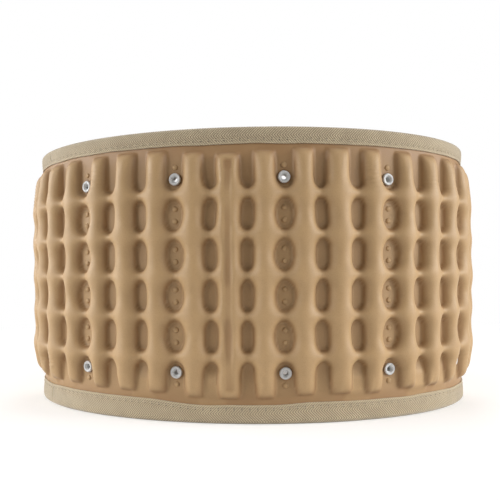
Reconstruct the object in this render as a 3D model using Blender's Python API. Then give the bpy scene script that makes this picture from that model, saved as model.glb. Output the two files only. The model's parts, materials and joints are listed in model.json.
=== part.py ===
"""Air-filled lumbar belt, closed and standing on its lower edge. Metres, +Z up, lumbar centre towards -Y.

Places along the belt are arc lengths from the lumbar centre, positive towards +X, and weld lines are
numbered in tube pitches: tube 0 is the centre tube and weld line 0.5 is the first one to its right.
"""

import math

import bmesh
import bpy
import numpy as np
from mathutils import Matrix, Vector

# Belt as a whole
RING_HALF_WIDTH = 0.1675
BELT_HEIGHT = 0.190
BACK_REACH = 0.132
CLOSURE_OVERLAP = 0.050
CLEARANCE = 0.0003
RING_SAMPLES = 6001

# Air panel
TUBE_PITCH = 0.0235
LUMBAR_TUBES = 17
WING_TUBES = 5
TUBE_CROWN_WIDTH = 0.0080
OUTER_CREST = 0.0095
INNER_CREST = 0.0070
SKIN_THICKNESS = 0.0010
TUBE_END_INSET = 0.0170
TUBE_END_RISE = 0.0050

# Weld spots along each weld line
WELD_SPOTS = 4
WELD_SPOT_PITCH = 0.0261
OUTER_NECK_HEIGHT = 0.0046
INNER_NECK_HEIGHT = 0.0037

# Eyelets on every third weld line
EYELET_FIRST_TUBE = 1
EYELET_LINE_STEP = 3
EYELET_INSET = 0.0325
EYELET_FLOOR_WIDTH = 0.0096
EYELET_FLANGE_RADIUS = 0.0040
EYELET_BARREL_RADIUS = 0.0023
EYELET_BORE_RADIUS = 0.0016
EYELET_LIP_RADIUS = 0.0033
EYELET_FLANGE_HEIGHT = 0.0012
EYELET_LIP_HEIGHT = 0.0008
EYELET_SIDES = 10
EYELET_HOLE_SIDES = 6
WASHER_RADIUS = 0.0042
WASHER_THICKNESS = 0.0008

# Folded tape along the edges
TAPE_WIDTH = 0.0110
TAPE_THICKNESS = 0.0010
TAPE_EDGE_ROUND = 0.0008
TAPE_EASE = 0.0005
TAPE_STEP = 0.0118

# Soft hinges
SKIN_SLIT = 0.0009
TAPE_SLIT = 0.0021

# Closing tabs
TAB_THICKNESS = 0.0020
TAB_RISE_LENGTH = 0.0400
LOOP_PAD_THICKNESS = 0.0015
HOOK_PAD_THICKNESS = 0.0014
PAD_EDGE_INSET = 0.0150
PAD_STEP = 0.0120

# Air valve, on one tube of the right wing
VALVE_TUBE = 12
VALVE_SEAT_WIDTH = 0.0170
VALVE_FLANGE_RADIUS = 0.0080
VALVE_FLANGE_THICKNESS = 0.0012
VALVE_BARREL_RADIUS = 0.0042
VALVE_BARREL_LENGTH = 0.0050
VALVE_COLLAR_RADIUS = 0.0060
VALVE_COLLAR_HEIGHT = 0.0018
VALVE_NOZZLE_RADIUS = 0.0036
VALVE_NOZZLE_LENGTH = 0.0085
VALVE_NOZZLE_TAPER = 0.0005
VALVE_BORE_RADIUS = 0.0024
VALVE_CHAMBER_RADIUS = 0.0030
VALVE_SHOULDER_RADIUS = 0.0011
VALVE_SHOULDER_THICKNESS = 0.0015
VALVE_SIDES = 16
PIN_STEM_RADIUS = 0.0007
PIN_BUTTON_RADIUS = 0.0019
PIN_BUTTON_THICKNESS = 0.0010
PIN_BUTTON_DEPTH = 0.0010
PIN_POPPET_RADIUS = 0.0025
PIN_POPPET_THICKNESS = 0.0011
SEAL_RADIUS = 0.0022
SEAL_THICKNESS = 0.0008
SPRING_RADIUS = 0.0015
SPRING_WIRE_RADIUS = 0.00025
SPRING_TURNS = 5
SPRING_POINTS_PER_TURN = 8
CAP_WALL = 0.0011
CAP_TOP_THICKNESS = 0.0012
CAP_EDGE_ROUND = 0.0006
CAP_HEADROOM = 0.0005

# Worked out from the sizes above
LUMBAR_HALF = LUMBAR_TUBES * TUBE_PITCH / 2
PANEL_HALF = LUMBAR_HALF + WING_TUBES * TUBE_PITCH
HALF_GIRTH = PANEL_HALF + BACK_REACH
LUMBAR_LINE = LUMBAR_TUBES / 2
PANEL_LINE = LUMBAR_LINE + WING_TUBES
MIDDLE_HEIGHT = BELT_HEIGHT / 2
PANEL_EDGE = TAPE_THICKNESS + CLEARANCE
AIR_SIDE = CLEARANCE / 2
WELD_FACE = AIR_SIDE + SKIN_THICKNESS
TAPE_INNER = max(WELD_FACE, TAB_THICKNESS / 2) + TAPE_EASE
TAPE_OUTER = TAPE_INNER + TAPE_THICKNESS
PAD_STACK = LOOP_PAD_THICKNESS + HOOK_PAD_THICKNESS + 3 * CLEARANCE
TAB_OFFSET = (TAB_THICKNESS + PAD_STACK) / 2
TAB_END = HALF_GIRTH + CLOSURE_OVERLAP

FINISHES = {
    "coated_cloth": ((0.36, 0.23, 0.13), 0.55, 0.0),
    "woven_tape": ((0.42, 0.34, 0.22), 0.85, 0.0),
    "white_plastic": ((0.82, 0.82, 0.80), 0.35, 0.0),
    "washer_plastic": ((0.70, 0.70, 0.68), 0.45, 0.0),
    "tab_cloth": ((0.34, 0.22, 0.13), 0.80, 0.0),
    "hook_fastener": ((0.30, 0.22, 0.14), 0.75, 0.0),
    "loop_fastener": ((0.38, 0.29, 0.19), 0.95, 0.0),
    "valve_plastic": ((0.55, 0.52, 0.46), 0.40, 0.0),
    "cap_plastic": ((0.09, 0.09, 0.09), 0.45, 0.0),
    "seal_rubber": ((0.03, 0.03, 0.03), 0.70, 0.0),
    "spring_steel": ((0.62, 0.62, 0.60), 0.30, 1.0),
}


def arc_table(half_depth):
    """Angles round the ring from the lumbar centre to well past the back, and the arc length at each."""
    angle = np.linspace(0.0, 1.5 * math.pi, RING_SAMPLES)
    speed = np.hypot(RING_HALF_WIDTH * np.cos(angle), half_depth * np.sin(angle))
    arc = np.concatenate([[0.0], np.cumsum((speed[1:] + speed[:-1]) / 2 * np.diff(angle))])
    return angle, arc


def ring_half_depth():
    """Depth of the oval whose girth is the closed belt's, found by halving."""
    low, high = 0.0, 2 * HALF_GIRTH
    for _ in range(60):
        middle = (low + high) / 2
        angle, arc = arc_table(middle)
        if np.interp(math.pi, angle, arc) < HALF_GIRTH:
            low = middle
        else:
            high = middle
    return (low + high) / 2


RING_HALF_DEPTH = ring_half_depth()
RING_ANGLE, RING_ARC = arc_table(RING_HALF_DEPTH)
FRONT_REACH = RING_HALF_DEPTH + OUTER_CREST
CLOSURE_REACH = RING_HALF_DEPTH + TAB_OFFSET + TAPE_OUTER
RING_SHIFT = (FRONT_REACH - CLOSURE_REACH) / 2


def ring_outward(arc):
    """Angle round the ring at an arc length, and the level outward direction there."""
    angle = math.copysign(np.interp(abs(arc), RING_ARC, RING_ANGLE), arc)
    out = Vector((RING_HALF_DEPTH * math.sin(angle), -RING_HALF_WIDTH * math.cos(angle), 0.0))
    return angle, out.normalized()


def ring_point(arc, out, height):
    """World point at an arc length, a distance out from the middle of the wall and a height."""
    angle, outward = ring_outward(arc)
    x = RING_HALF_WIDTH * math.sin(angle)
    y = RING_SHIFT - RING_HALF_DEPTH * math.cos(angle)
    return Vector((x, y, height)) + outward * float(out)


def ring_turn(arc):
    """Rotation whose local Z points out of the ring and whose local Y points up."""
    _, outward = ring_outward(arc)
    up = Vector((0.0, 0.0, 1.0))
    return Matrix((up.cross(outward), up, outward)).transposed().to_euler()


def tab_offset(arc, layer):
    """How far out a tab lies: level with the wing at its root, then on its own side of the closure."""
    share = min(max((abs(arc) - PANEL_HALF) / TAB_RISE_LENGTH, 0.0), 1.0)
    return layer * TAB_OFFSET * share * share * (3 - 2 * share)


def finish(name):
    """Principled material of one finish, made once."""
    material = bpy.data.materials.get(name)
    if material is None:
        colour, roughness, metallic = FINISHES[name]
        material = bpy.data.materials.new(name)
        material.use_nodes = True
        shader = material.node_tree.nodes["Principled BSDF"]
        shader.inputs["Base Color"].default_value = (*colour, 1.0)
        shader.inputs["Roughness"].default_value = roughness
        shader.inputs["Metallic"].default_value = metallic
    return material


def anchor(name, location, parent=None, rotation=None):
    """Empty that carries a body, on its joint's axis."""
    empty = bpy.data.objects.new(name, None)
    bpy.context.collection.objects.link(empty)
    if parent is not None:
        empty.parent = parent
        location = location - parent.matrix_world.translation
    empty.location = location
    if rotation is not None:
        empty.rotation_euler = rotation
    bpy.context.view_layer.update()
    return empty


def add_object(name, mesh, carrier, finish_name):
    """Object of a mesh, carried by an empty."""
    obj = bpy.data.objects.new(name, mesh)
    bpy.context.collection.objects.link(obj)
    obj.parent = carrier
    if finish_name:
        mesh.materials.clear()
        mesh.materials.append(finish(finish_name))
    return obj


def add_in_place(name, mesh, carrier, finish_name):
    """Object whose mesh is already in world coordinates."""
    obj = add_object(name, mesh, carrier, finish_name)
    obj.location = -carrier.matrix_world.translation
    return obj


def mesh_of(name, points, faces):
    """Closed mesh from points and faces, with its faces turned outwards and cut into triangles."""
    shape = bmesh.new()
    corners = [shape.verts.new(point) for point in points]
    for face in faces:
        shape.faces.new([corners[i] for i in face])
    bmesh.ops.recalc_face_normals(shape, faces=shape.faces)
    bmesh.ops.triangulate(shape, faces=shape.faces)
    mesh = bpy.data.meshes.new(name)
    shape.to_mesh(mesh)
    shape.free()
    return mesh


def turned_mesh(name, profile, sides, closed):
    """Profile of (radius, height) pairs turned about local Z. A closed profile makes a ring."""
    shape = bmesh.new()
    corners = [shape.verts.new((radius, 0.0, height)) for radius, height in profile]
    pairs = list(zip(corners, corners[1:]))
    if closed:
        pairs.append((corners[-1], corners[0]))
    edges = [shape.edges.new(pair) for pair in pairs]
    bmesh.ops.spin(
        shape, geom=corners + edges, axis=(0, 0, 1), cent=(0, 0, 0),
        angle=2 * math.pi, steps=sides, use_merge=True,
    )
    bmesh.ops.remove_doubles(shape, verts=shape.verts, dist=1e-6)
    bmesh.ops.recalc_face_normals(shape, faces=shape.faces)
    mesh = bpy.data.meshes.new(name)
    shape.to_mesh(mesh)
    shape.free()
    mesh.shade_smooth()
    mesh.set_sharp_from_angle(angle=math.radians(35))
    return mesh


def zip_lines(first, second, first_at, second_at):
    """Triangles between two lines of points that run side by side, stepping along whichever lags."""
    faces = []
    i = j = 0
    while i < len(first) - 1 or j < len(second) - 1:
        step_first = j == len(second) - 1
        if not step_first and i < len(first) - 1:
            step_first = first_at[i + 1] <= second_at[j + 1]
        if step_first:
            faces.append((first[i], first[i + 1], second[j]))
            i += 1
        else:
            faces.append((first[i], second[j + 1], second[j]))
            j += 1
    return faces


def grid_faces(start, columns, rows):
    """Quads of a grid of points stored column by column from an index."""
    return [
        (start + c * rows + r, start + (c + 1) * rows + r,
         start + (c + 1) * rows + r + 1, start + c * rows + r + 1)
        for c in range(columns - 1)
        for r in range(rows - 1)
    ]


def has_eyelets(line):
    """Whether a weld line carries eyelets."""
    return (abs(line) - 0.5 - EYELET_FIRST_TUBE) % EYELET_LINE_STEP == 0


def weld_rows():
    """Heights of the outer grid's rows, bottom to top, with what each one crosses."""
    foot = TUBE_END_INSET
    rows = [(PANEL_EDGE, "margin"), (foot, "margin"), (foot + TUBE_END_RISE, "spot")]
    for i in range(2 * WELD_SPOTS + 1):
        height = MIDDLE_HEIGHT + (i - WELD_SPOTS) * WELD_SPOT_PITCH / 2
        outermost = i in (0, 2 * WELD_SPOTS)
        rows.append((height, "spot" if i % 2 else "end neck" if outermost else "neck"))
    rows += [(BELT_HEIGHT - height, what) for height, what in reversed(rows[:3])]
    return rows


def air_rows(crest):
    """Heights of the air side's rows, with how far it stands off the weld there."""
    deep = crest - SKIN_THICKNESS
    foot = TUBE_END_INSET + SKIN_THICKNESS
    full = foot + TUBE_END_RISE + SKIN_THICKNESS / 2
    rows = [(PANEL_EDGE, AIR_SIDE), (foot, AIR_SIDE), (full, deep)]
    return rows + [(BELT_HEIGHT - height, out) for height, out in reversed(rows)]


def skin_stations(first, last):
    """Upright lines of the outer grid between two weld lines: (arc, kind, tube)."""
    stations = [(first * TUBE_PITCH + SKIN_SLIT / 2, "end", None)]
    for tube in range(round(first + 0.5), round(last + 0.5)):
        middle = tube * TUBE_PITCH
        stations += [(middle - TUBE_CROWN_WIDTH / 2, "crown", tube)]
        stations += [(middle + TUBE_CROWN_WIDTH / 2, "crown", tube)]
        stations += weld_line_stations(tube + 0.5, last)
    return stations + [(last * TUBE_PITCH - SKIN_SLIT / 2, "end", None)]


def weld_line_stations(line, last):
    """One upright line in a plain weld line, two where the floor is wide, none at the panel's end."""
    middle = line * TUBE_PITCH
    if line >= last:
        return []
    if has_eyelets(line):
        return [(middle - EYELET_FLOOR_WIDTH / 2, "wide", None), (middle + EYELET_FLOOR_WIDTH / 2, "wide", None)]
    return [(middle, "plain", None)]


def on_valve_seat(tube, height, side):
    """Whether a point of the outer skin is where the valve's flange sits."""
    reach = WELD_SPOT_PITCH / 2 + CLEARANCE
    return side > 0 and tube == VALVE_TUBE and abs(height - MIDDLE_HEIGHT) < reach


def skin_point(station, row, side, crest, neck):
    """Point of a skin's outer grid."""
    arc, kind, tube = station
    height, what = row
    out = WELD_FACE
    if kind == "crown":
        out = WELD_FACE if what == "margin" else crest
        if on_valve_seat(tube, height, side):
            arc = tube * TUBE_PITCH + math.copysign(VALVE_SEAT_WIDTH / 2, arc - tube * TUBE_PITCH)
    elif what == "neck" and kind != "end" or what == "end neck" and kind == "plain":
        out = neck
    return ring_point(arc, side * out, height)


def skin_mesh(name, first, last, side, crest, neck):
    """Hollow skin: the outer grid with its tubes, a plainer air side, and strips that close the edges."""
    stations = skin_stations(first, last)
    rows = weld_rows()
    air_columns = []
    for arc, kind, tube in stations:
        if kind != "crown":
            air_columns.append((arc, False))
        elif arc < tube * TUBE_PITCH:
            air_columns.append((tube * TUBE_PITCH, True))
    heights = air_rows(crest)
    points = [skin_point(station, row, side, crest, neck) for station in stations for row in rows]
    back = len(points)
    for arc, in_tube in air_columns:
        points += [ring_point(arc, side * (out if in_tube else AIR_SIDE), height) for height, out in heights]
    faces = grid_faces(0, len(stations), len(rows)) + grid_faces(back, len(air_columns), len(heights))
    row_at = [height for height, _ in rows]
    air_row_at = [height for height, _ in heights]
    for front_start, air_start in ((0, back), ((len(stations) - 1) * len(rows), len(points) - len(heights))):
        front_line = range(front_start, front_start + len(rows))
        faces += zip_lines(front_line, range(air_start, air_start + len(heights)), row_at, air_row_at)
    arc_at = [station[0] for station in stations]
    air_arc_at = [column[0] for column in air_columns]
    for front_row, air_row in ((0, 0), (len(rows) - 1, len(heights) - 1)):
        front_line = range(front_row, back, len(rows))
        faces += zip_lines(front_line, range(back + air_row, len(points), len(heights)), arc_at, air_arc_at)
    return mesh_of(name, points, faces)


def eyelet_lines(first, last):
    """Weld lines with eyelets strictly between two weld lines."""
    return [tube + 0.5 for tube in range(round(first + 0.5), round(last - 0.5)) if has_eyelets(tube + 0.5)]


def eyelet_heights():
    """Names and heights of the lower and upper eyelet rows."""
    return (("bottom", EYELET_INSET), ("top", BELT_HEIGHT - EYELET_INSET))


def prism_cutter(name, places, radius, sides, reach):
    """Cutter of straight prisms, each through the wall at an (arc, height) and outward distance."""
    shape = bmesh.new()
    for arc, height, out in places:
        turn = ring_turn(arc).to_matrix().to_4x4()
        place = Matrix.Translation(ring_point(arc, out, height)) @ turn
        bmesh.ops.create_cone(
            shape, cap_ends=True, segments=sides, radius1=radius, radius2=radius,
            depth=2 * reach, matrix=place,
        )
    mesh = bpy.data.meshes.new(name)
    shape.to_mesh(mesh)
    shape.free()
    cutter = bpy.data.objects.new(name, mesh)
    bpy.context.collection.objects.link(cutter)
    cutter.hide_render = True
    cutter.display_type = "WIRE"
    return cutter


def cut(obj, cutter):
    """Takes a cutter's shape out of an object."""
    modifier = obj.modifiers.new(cutter.name, "BOOLEAN")
    modifier.operation = "DIFFERENCE"
    modifier.solver = "EXACT"
    modifier.object = cutter


def swept_mesh(name, section, arcs, offset):
    """Section of (out, height) points swept along the ring through some arc lengths."""
    points = [ring_point(arc, offset(arc) + out, height) for arc in arcs for out, height in section]
    count = len(section)
    faces = []
    for k in range(len(arcs) - 1):
        for i in range(count):
            j = (i + 1) % count
            faces.append((k * count + i, k * count + j, (k + 1) * count + j, (k + 1) * count + i))
    last = (len(arcs) - 1) * count
    faces += [tuple(range(count)), tuple(range(last, last + count))]
    return mesh_of(name, points, faces)


def even_arcs(start, end, step):
    """Arc lengths from start to end in equal steps no longer than a given one."""
    return np.linspace(start, end, max(1, math.ceil(abs(end - start) / step)) + 1)


def tape_section(top):
    """Folded tape's section over the top or bottom edge, as (out, height) points."""
    def up(distance):
        return BELT_HEIGHT - distance if top else distance
    half = [
        (TAPE_INNER, up(TAPE_THICKNESS)), (TAPE_INNER, up(TAPE_WIDTH)), (TAPE_OUTER, up(TAPE_WIDTH)),
        (TAPE_OUTER, up(TAPE_EDGE_ROUND)), (TAPE_OUTER - TAPE_EDGE_ROUND, up(0.0)),
    ]
    return half + [(-out, height) for out, height in reversed(half)]


def level(arc):
    """Offset of what lies in the middle of the wall."""
    return 0.0


def add_edge_tapes(body, carrier, start, end, offset):
    """Folded tapes along the top and bottom edges between two arc lengths."""
    for edge in ("top", "bottom"):
        name = f"{body}_{edge}_tape"
        mesh = swept_mesh(name, tape_section(edge == "top"), even_arcs(start, end, TAPE_STEP), offset)
        add_in_place(name, mesh, carrier, "woven_tape")


def eyelet_mesh():
    """Eyelet with its flange outside, its barrel through both skins and its rolled lip inside."""
    seat = WELD_FACE + CLEARANCE
    lip = -(WELD_FACE + 2 * CLEARANCE + WASHER_THICKNESS)
    profile = [
        (EYELET_BORE_RADIUS, seat + EYELET_FLANGE_HEIGHT),
        ((EYELET_BARREL_RADIUS + EYELET_FLANGE_RADIUS) / 2, seat + EYELET_FLANGE_HEIGHT),
        (EYELET_FLANGE_RADIUS, seat), (EYELET_BARREL_RADIUS, seat), (EYELET_BARREL_RADIUS, lip),
        (EYELET_LIP_RADIUS, lip), (EYELET_LIP_RADIUS, lip - EYELET_LIP_HEIGHT),
        (EYELET_BORE_RADIUS, lip - EYELET_LIP_HEIGHT),
    ]
    return turned_mesh("eyelet", profile, EYELET_SIDES, True)


def washer_mesh():
    """Washer that an eyelet's lip is rolled against, on the inner skin."""
    face = -WELD_FACE - CLEARANCE
    hole = EYELET_BARREL_RADIUS + CLEARANCE
    profile = [
        (hole, face), (WASHER_RADIUS, face),
        (WASHER_RADIUS, face - WASHER_THICKNESS), (hole, face - WASHER_THICKNESS),
    ]
    return turned_mesh("washer", profile, EYELET_SIDES, True)


def add_eyelets(carrier, lines):
    """Eyelets and washers of a body's wide weld lines, counted outwards from the lumbar centre."""
    for line in lines:
        side = "right" if line > 0 else "left"
        number = round((abs(line) - 0.5 - EYELET_FIRST_TUBE) / EYELET_LINE_STEP) + 1
        arc = line * TUBE_PITCH
        for row, height in eyelet_heights():
            place = f"{side}_{number}_{row}"
            for piece in (
                add_object(f"eyelet_{place}", eyelet_mesh(), carrier, "white_plastic"),
                add_object(f"washer_{place}", washer_mesh(), carrier, "washer_plastic"),
            ):
                piece.location = ring_point(arc, 0.0, height) - carrier.matrix_world.translation
                piece.rotation_euler = ring_turn(arc)


def add_air_panel(body, carrier, first, last):
    """Skins, edge tapes and eyelets of the air panel between two weld lines."""
    lines = eyelet_lines(first, last)
    holes = prism_cutter(
        f"{body}_eyelet_holes",
        [(line * TUBE_PITCH, height, 0.0) for line in lines for _, height in eyelet_heights()],
        (EYELET_BARREL_RADIUS + CLEARANCE) / math.cos(math.pi / EYELET_HOLE_SIDES),
        EYELET_HOLE_SIDES,
        WELD_FACE + SKIN_THICKNESS,
    )
    for name, side, crest, neck in (
        (f"{body}_outer_skin", 1, OUTER_CREST, OUTER_NECK_HEIGHT),
        (f"{body}_inner_skin", -1, INNER_CREST, INNER_NECK_HEIGHT),
    ):
        skin = add_in_place(name, skin_mesh(name, first, last, side, crest, neck), carrier, "coated_cloth")
        cut(skin, holes)
    start, end = first * TUBE_PITCH + TAPE_SLIT / 2, last * TUBE_PITCH - TAPE_SLIT / 2
    add_edge_tapes(body, carrier, start, end, level)
    add_eyelets(carrier, lines)


def add_tab(side, layer, carrier):
    """Closing tab at the back: panel, tapes and its half of the touch fastener."""
    sign = 1 if side == "right" else -1
    body = f"{side}_tab"

    def offset(arc):
        return tab_offset(arc, layer)

    def add_strip(name, start, end, low, high, inner, outer, finish_name):
        section = [(inner, low), (outer, low), (outer, high), (inner, high)]
        mesh = swept_mesh(name, section, even_arcs(sign * start, sign * end, PAD_STEP), offset)
        add_in_place(name, mesh, carrier, finish_name)

    panel_end = TAB_END - PANEL_EDGE
    half = TAB_THICKNESS / 2
    add_strip(
        f"{body}_panel", PANEL_HALF + SKIN_SLIT / 2, panel_end,
        PANEL_EDGE, BELT_HEIGHT - PANEL_EDGE, -half, half, "tab_cloth",
    )
    tape_end = TAB_END - TAPE_WIDTH - CLEARANCE
    add_edge_tapes(body, carrier, sign * (PANEL_HALF + TAPE_SLIT / 2), sign * tape_end, offset)
    add_end_tape(body, carrier, sign, offset)
    pad_end = tape_end - CLEARANCE
    low, high = PAD_EDGE_INSET, BELT_HEIGHT - PAD_EDGE_INSET
    face = half + CLEARANCE
    if layer > 0:
        start = HALF_GIRTH - CLOSURE_OVERLAP
        add_strip(
            "left_tab_hook_pad", start, pad_end, low, high,
            -face - HOOK_PAD_THICKNESS, -face, "hook_fastener",
        )
    else:
        start = PANEL_HALF + TAB_RISE_LENGTH
        add_strip(
            "right_tab_loop_pad", start, pad_end, low, high,
            face, face + LOOP_PAD_THICKNESS, "loop_fastener",
        )


def add_end_tape(body, carrier, sign, offset):
    """Tape folded over a tab's free end, from the lower edge to the upper one."""
    root, fold = TAB_END - TAPE_WIDTH, TAB_END - TAPE_THICKNESS
    half = [(fold, TAPE_INNER), (root, TAPE_INNER), (root, TAPE_OUTER), (TAB_END, TAPE_OUTER)]
    outline = half + [(arc, -out) for arc, out in reversed(half)]
    count = len(outline)
    points = [
        ring_point(sign * arc, offset(sign * arc) + out, height)
        for height in (0.0, BELT_HEIGHT)
        for arc, out in outline
    ]
    faces = [(i, (i + 1) % count, count + (i + 1) % count, count + i) for i in range(count)]
    faces += [tuple(range(count)), tuple(range(count, 2 * count))]
    name = f"{body}_end_tape"
    add_in_place(name, mesh_of(name, points, faces), carrier, "woven_tape")


def valve_seat():
    """Middle of the flat that the valve sits on: halfway along the seat's chord."""
    middle = VALVE_TUBE * TUBE_PITCH
    edges = [
        ring_point(middle + sign * VALVE_SEAT_WIDTH / 2, OUTER_CREST, MIDDLE_HEIGHT) for sign in (-1, 1)
    ]
    return (edges[0] + edges[1]) / 2


def spring_mesh(bottom, top):
    """Coil spring along local Z between two heights."""
    curve = bpy.data.curves.new("valve_spring", "CURVE")
    curve.dimensions = "3D"
    curve.bevel_depth = SPRING_WIRE_RADIUS
    curve.bevel_resolution = 0
    curve.use_fill_caps = True
    count = SPRING_TURNS * SPRING_POINTS_PER_TURN + 1
    spline = curve.splines.new("POLY")
    spline.points.add(count - 1)
    for i, point in enumerate(spline.points):
        angle = 2 * math.pi * i / SPRING_POINTS_PER_TURN
        height = bottom + (top - bottom) * i / (count - 1)
        point.co = (SPRING_RADIUS * math.cos(angle), SPRING_RADIUS * math.sin(angle), height, 1.0)
    return curve


def add_valve(carrier, skin):
    """Air valve on its tube, with heights measured out from the flat that it sits on."""
    arc = VALVE_TUBE * TUBE_PITCH
    seat = valve_seat()
    axis = anchor("valve_axis", seat, carrier, ring_turn(arc))
    flange_top = CLEARANCE + VALVE_FLANGE_THICKNESS
    collar = flange_top + CLEARANCE
    nozzle = collar + VALVE_COLLAR_HEIGHT
    tip = nozzle + VALVE_NOZZLE_LENGTH
    shoulder = flange_top
    shoulder_top = shoulder + VALVE_SHOULDER_THICKNESS
    seal_top = shoulder - CLEARANCE
    poppet_top = seal_top - SEAL_THICKNESS - CLEARANCE
    button_top = tip - PIN_BUTTON_DEPTH
    button = button_top - PIN_BUTTON_THICKNESS

    hole_radius = VALVE_BARREL_RADIUS + CLEARANCE
    hole = prism_cutter(
        "valve_hole", [(arc, MIDDLE_HEIGHT, OUTER_CREST)], hole_radius, VALVE_SIDES, VALVE_BARREL_LENGTH,
    )
    cut(skin, hole)

    def add_turned(name, profile, closed, finish_name):
        add_object(name, turned_mesh(name, profile, VALVE_SIDES, closed), axis, finish_name)

    add_turned("valve_flange", [
        (hole_radius, flange_top), (VALVE_FLANGE_RADIUS - VALVE_FLANGE_THICKNESS / 2, flange_top),
        (VALVE_FLANGE_RADIUS, CLEARANCE), (hole_radius, CLEARANCE),
    ], True, "coated_cloth")
    add_turned("valve_body", [
        (VALVE_NOZZLE_RADIUS - VALVE_NOZZLE_TAPER, tip), (VALVE_NOZZLE_RADIUS, tip - 2 * VALVE_NOZZLE_TAPER),
        (VALVE_NOZZLE_RADIUS, nozzle), (VALVE_COLLAR_RADIUS, nozzle), (VALVE_COLLAR_RADIUS, collar),
        (VALVE_BARREL_RADIUS, collar), (VALVE_BARREL_RADIUS, -VALVE_BARREL_LENGTH),
        (VALVE_CHAMBER_RADIUS, -VALVE_BARREL_LENGTH), (VALVE_CHAMBER_RADIUS, shoulder),
        (VALVE_SHOULDER_RADIUS, shoulder), (VALVE_SHOULDER_RADIUS, shoulder_top),
        (VALVE_BORE_RADIUS, shoulder_top), (VALVE_BORE_RADIUS, tip),
    ], True, "valve_plastic")
    add_turned("valve_pin", [
        (0.0, button_top), (PIN_BUTTON_RADIUS, button_top), (PIN_BUTTON_RADIUS, button),
        (PIN_STEM_RADIUS, button), (PIN_STEM_RADIUS, poppet_top), (PIN_POPPET_RADIUS, poppet_top),
        (PIN_POPPET_RADIUS, poppet_top - PIN_POPPET_THICKNESS), (0.0, poppet_top - PIN_POPPET_THICKNESS),
    ], False, "valve_plastic")
    add_turned("valve_seal", [
        (PIN_STEM_RADIUS + CLEARANCE, seal_top), (SEAL_RADIUS, seal_top),
        (SEAL_RADIUS, seal_top - SEAL_THICKNESS), (PIN_STEM_RADIUS + CLEARANCE, seal_top - SEAL_THICKNESS),
    ], True, "seal_rubber")
    wire_room = CLEARANCE + SPRING_WIRE_RADIUS
    add_object("valve_spring", spring_mesh(shoulder_top + wire_room, button - wire_room), axis, "spring_steel")
    cap_inner = VALVE_NOZZLE_RADIUS + CLEARANCE
    cap_outer = cap_inner + CAP_WALL
    cap_rim = nozzle + CLEARANCE
    cap_ceiling = tip + CAP_HEADROOM
    cap_top = cap_ceiling + CAP_TOP_THICKNESS
    add_turned("valve_cap", [
        (0.0, cap_top), (cap_outer - CAP_EDGE_ROUND, cap_top), (cap_outer, cap_top - CAP_EDGE_ROUND),
        (cap_outer, cap_rim), (cap_inner, cap_rim), (cap_inner, cap_ceiling), (0.0, cap_ceiling),
    ], False, "cap_plastic")


def main():
    for obj in list(bpy.data.objects):
        bpy.data.objects.remove(obj, do_unlink=True)
    lumbar = anchor("lumbar_axis", Vector((0.0, 0.0, 0.0)))
    add_air_panel("lumbar", lumbar, -LUMBAR_LINE, LUMBAR_LINE)
    for side, sign, layer in (("left", -1, 1), ("right", 1, -1)):
        wing = anchor(f"{side}_wing_hinge_axis", ring_point(sign * LUMBAR_HALF, 0.0, 0.0), lumbar)
        first, last = sorted((sign * LUMBAR_LINE, sign * PANEL_LINE))
        add_air_panel(f"{side}_wing", wing, first, last)
        tab = anchor(f"{side}_tab_hinge_axis", ring_point(sign * PANEL_HALF, 0.0, 0.0), wing)
        add_tab(side, layer, tab)
        if side == "right":
            add_valve(wing, bpy.data.objects["right_wing_outer_skin"])


main()
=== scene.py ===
"""Air-filled lumbar belt dressed for its studio picture: welded skins, sewn tape, eyelets, tabs and valve."""

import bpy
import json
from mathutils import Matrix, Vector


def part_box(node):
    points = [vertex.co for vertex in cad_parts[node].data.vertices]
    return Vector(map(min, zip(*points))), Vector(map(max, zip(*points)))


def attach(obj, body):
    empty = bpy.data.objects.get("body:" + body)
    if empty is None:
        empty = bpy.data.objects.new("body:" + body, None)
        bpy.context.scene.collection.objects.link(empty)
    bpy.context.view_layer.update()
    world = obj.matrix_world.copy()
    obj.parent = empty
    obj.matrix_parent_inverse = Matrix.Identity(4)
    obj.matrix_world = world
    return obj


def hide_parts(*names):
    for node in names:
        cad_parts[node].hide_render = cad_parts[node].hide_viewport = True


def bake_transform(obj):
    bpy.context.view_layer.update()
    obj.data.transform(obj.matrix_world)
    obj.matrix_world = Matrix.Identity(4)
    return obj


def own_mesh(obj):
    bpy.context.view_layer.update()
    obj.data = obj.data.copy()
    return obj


bl_info = {
    "name": "Air lumbar belt",
    "version": (1, 0, 0),
    "blender": (4, 5, 0),
    "location": "View3D > Sidebar > Belt",
    "description": "Builds the skins, tapes, eyelets, closing tabs and valve of an air-filled lumbar belt",
    "category": "Add Mesh",
}

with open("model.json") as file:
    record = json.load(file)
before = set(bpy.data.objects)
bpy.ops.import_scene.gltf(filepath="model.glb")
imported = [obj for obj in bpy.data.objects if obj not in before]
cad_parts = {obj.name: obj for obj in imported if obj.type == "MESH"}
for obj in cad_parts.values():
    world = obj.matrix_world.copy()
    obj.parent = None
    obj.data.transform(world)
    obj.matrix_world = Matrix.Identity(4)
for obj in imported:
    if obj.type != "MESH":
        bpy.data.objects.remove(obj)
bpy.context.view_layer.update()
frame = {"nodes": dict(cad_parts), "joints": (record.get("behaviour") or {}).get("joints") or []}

import functools
import json
import math

import bmesh
import bpy
import numpy as np
from bpy.props import FloatProperty, FloatVectorProperty, IntProperty, PointerProperty
from mathutils import Matrix, Vector

BELT_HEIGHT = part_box("left_tab_end_tape")[1][2]
MIDDLE = BELT_HEIGHT / 2


def length(name, text, default):
    """Property for a length in metres."""
    return FloatProperty(name=name, description=text, default=default, precision=5, unit="LENGTH")


def rotation(name, text, default):
    """Property for an angle in radians."""
    return FloatProperty(name=name, description=text, default=default, unit="ROTATION")


def pixels(name, text, default):
    """Property for a place or a length in the picture."""
    return FloatProperty(name=name, description=text, default=default, subtype="PIXEL")


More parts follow.
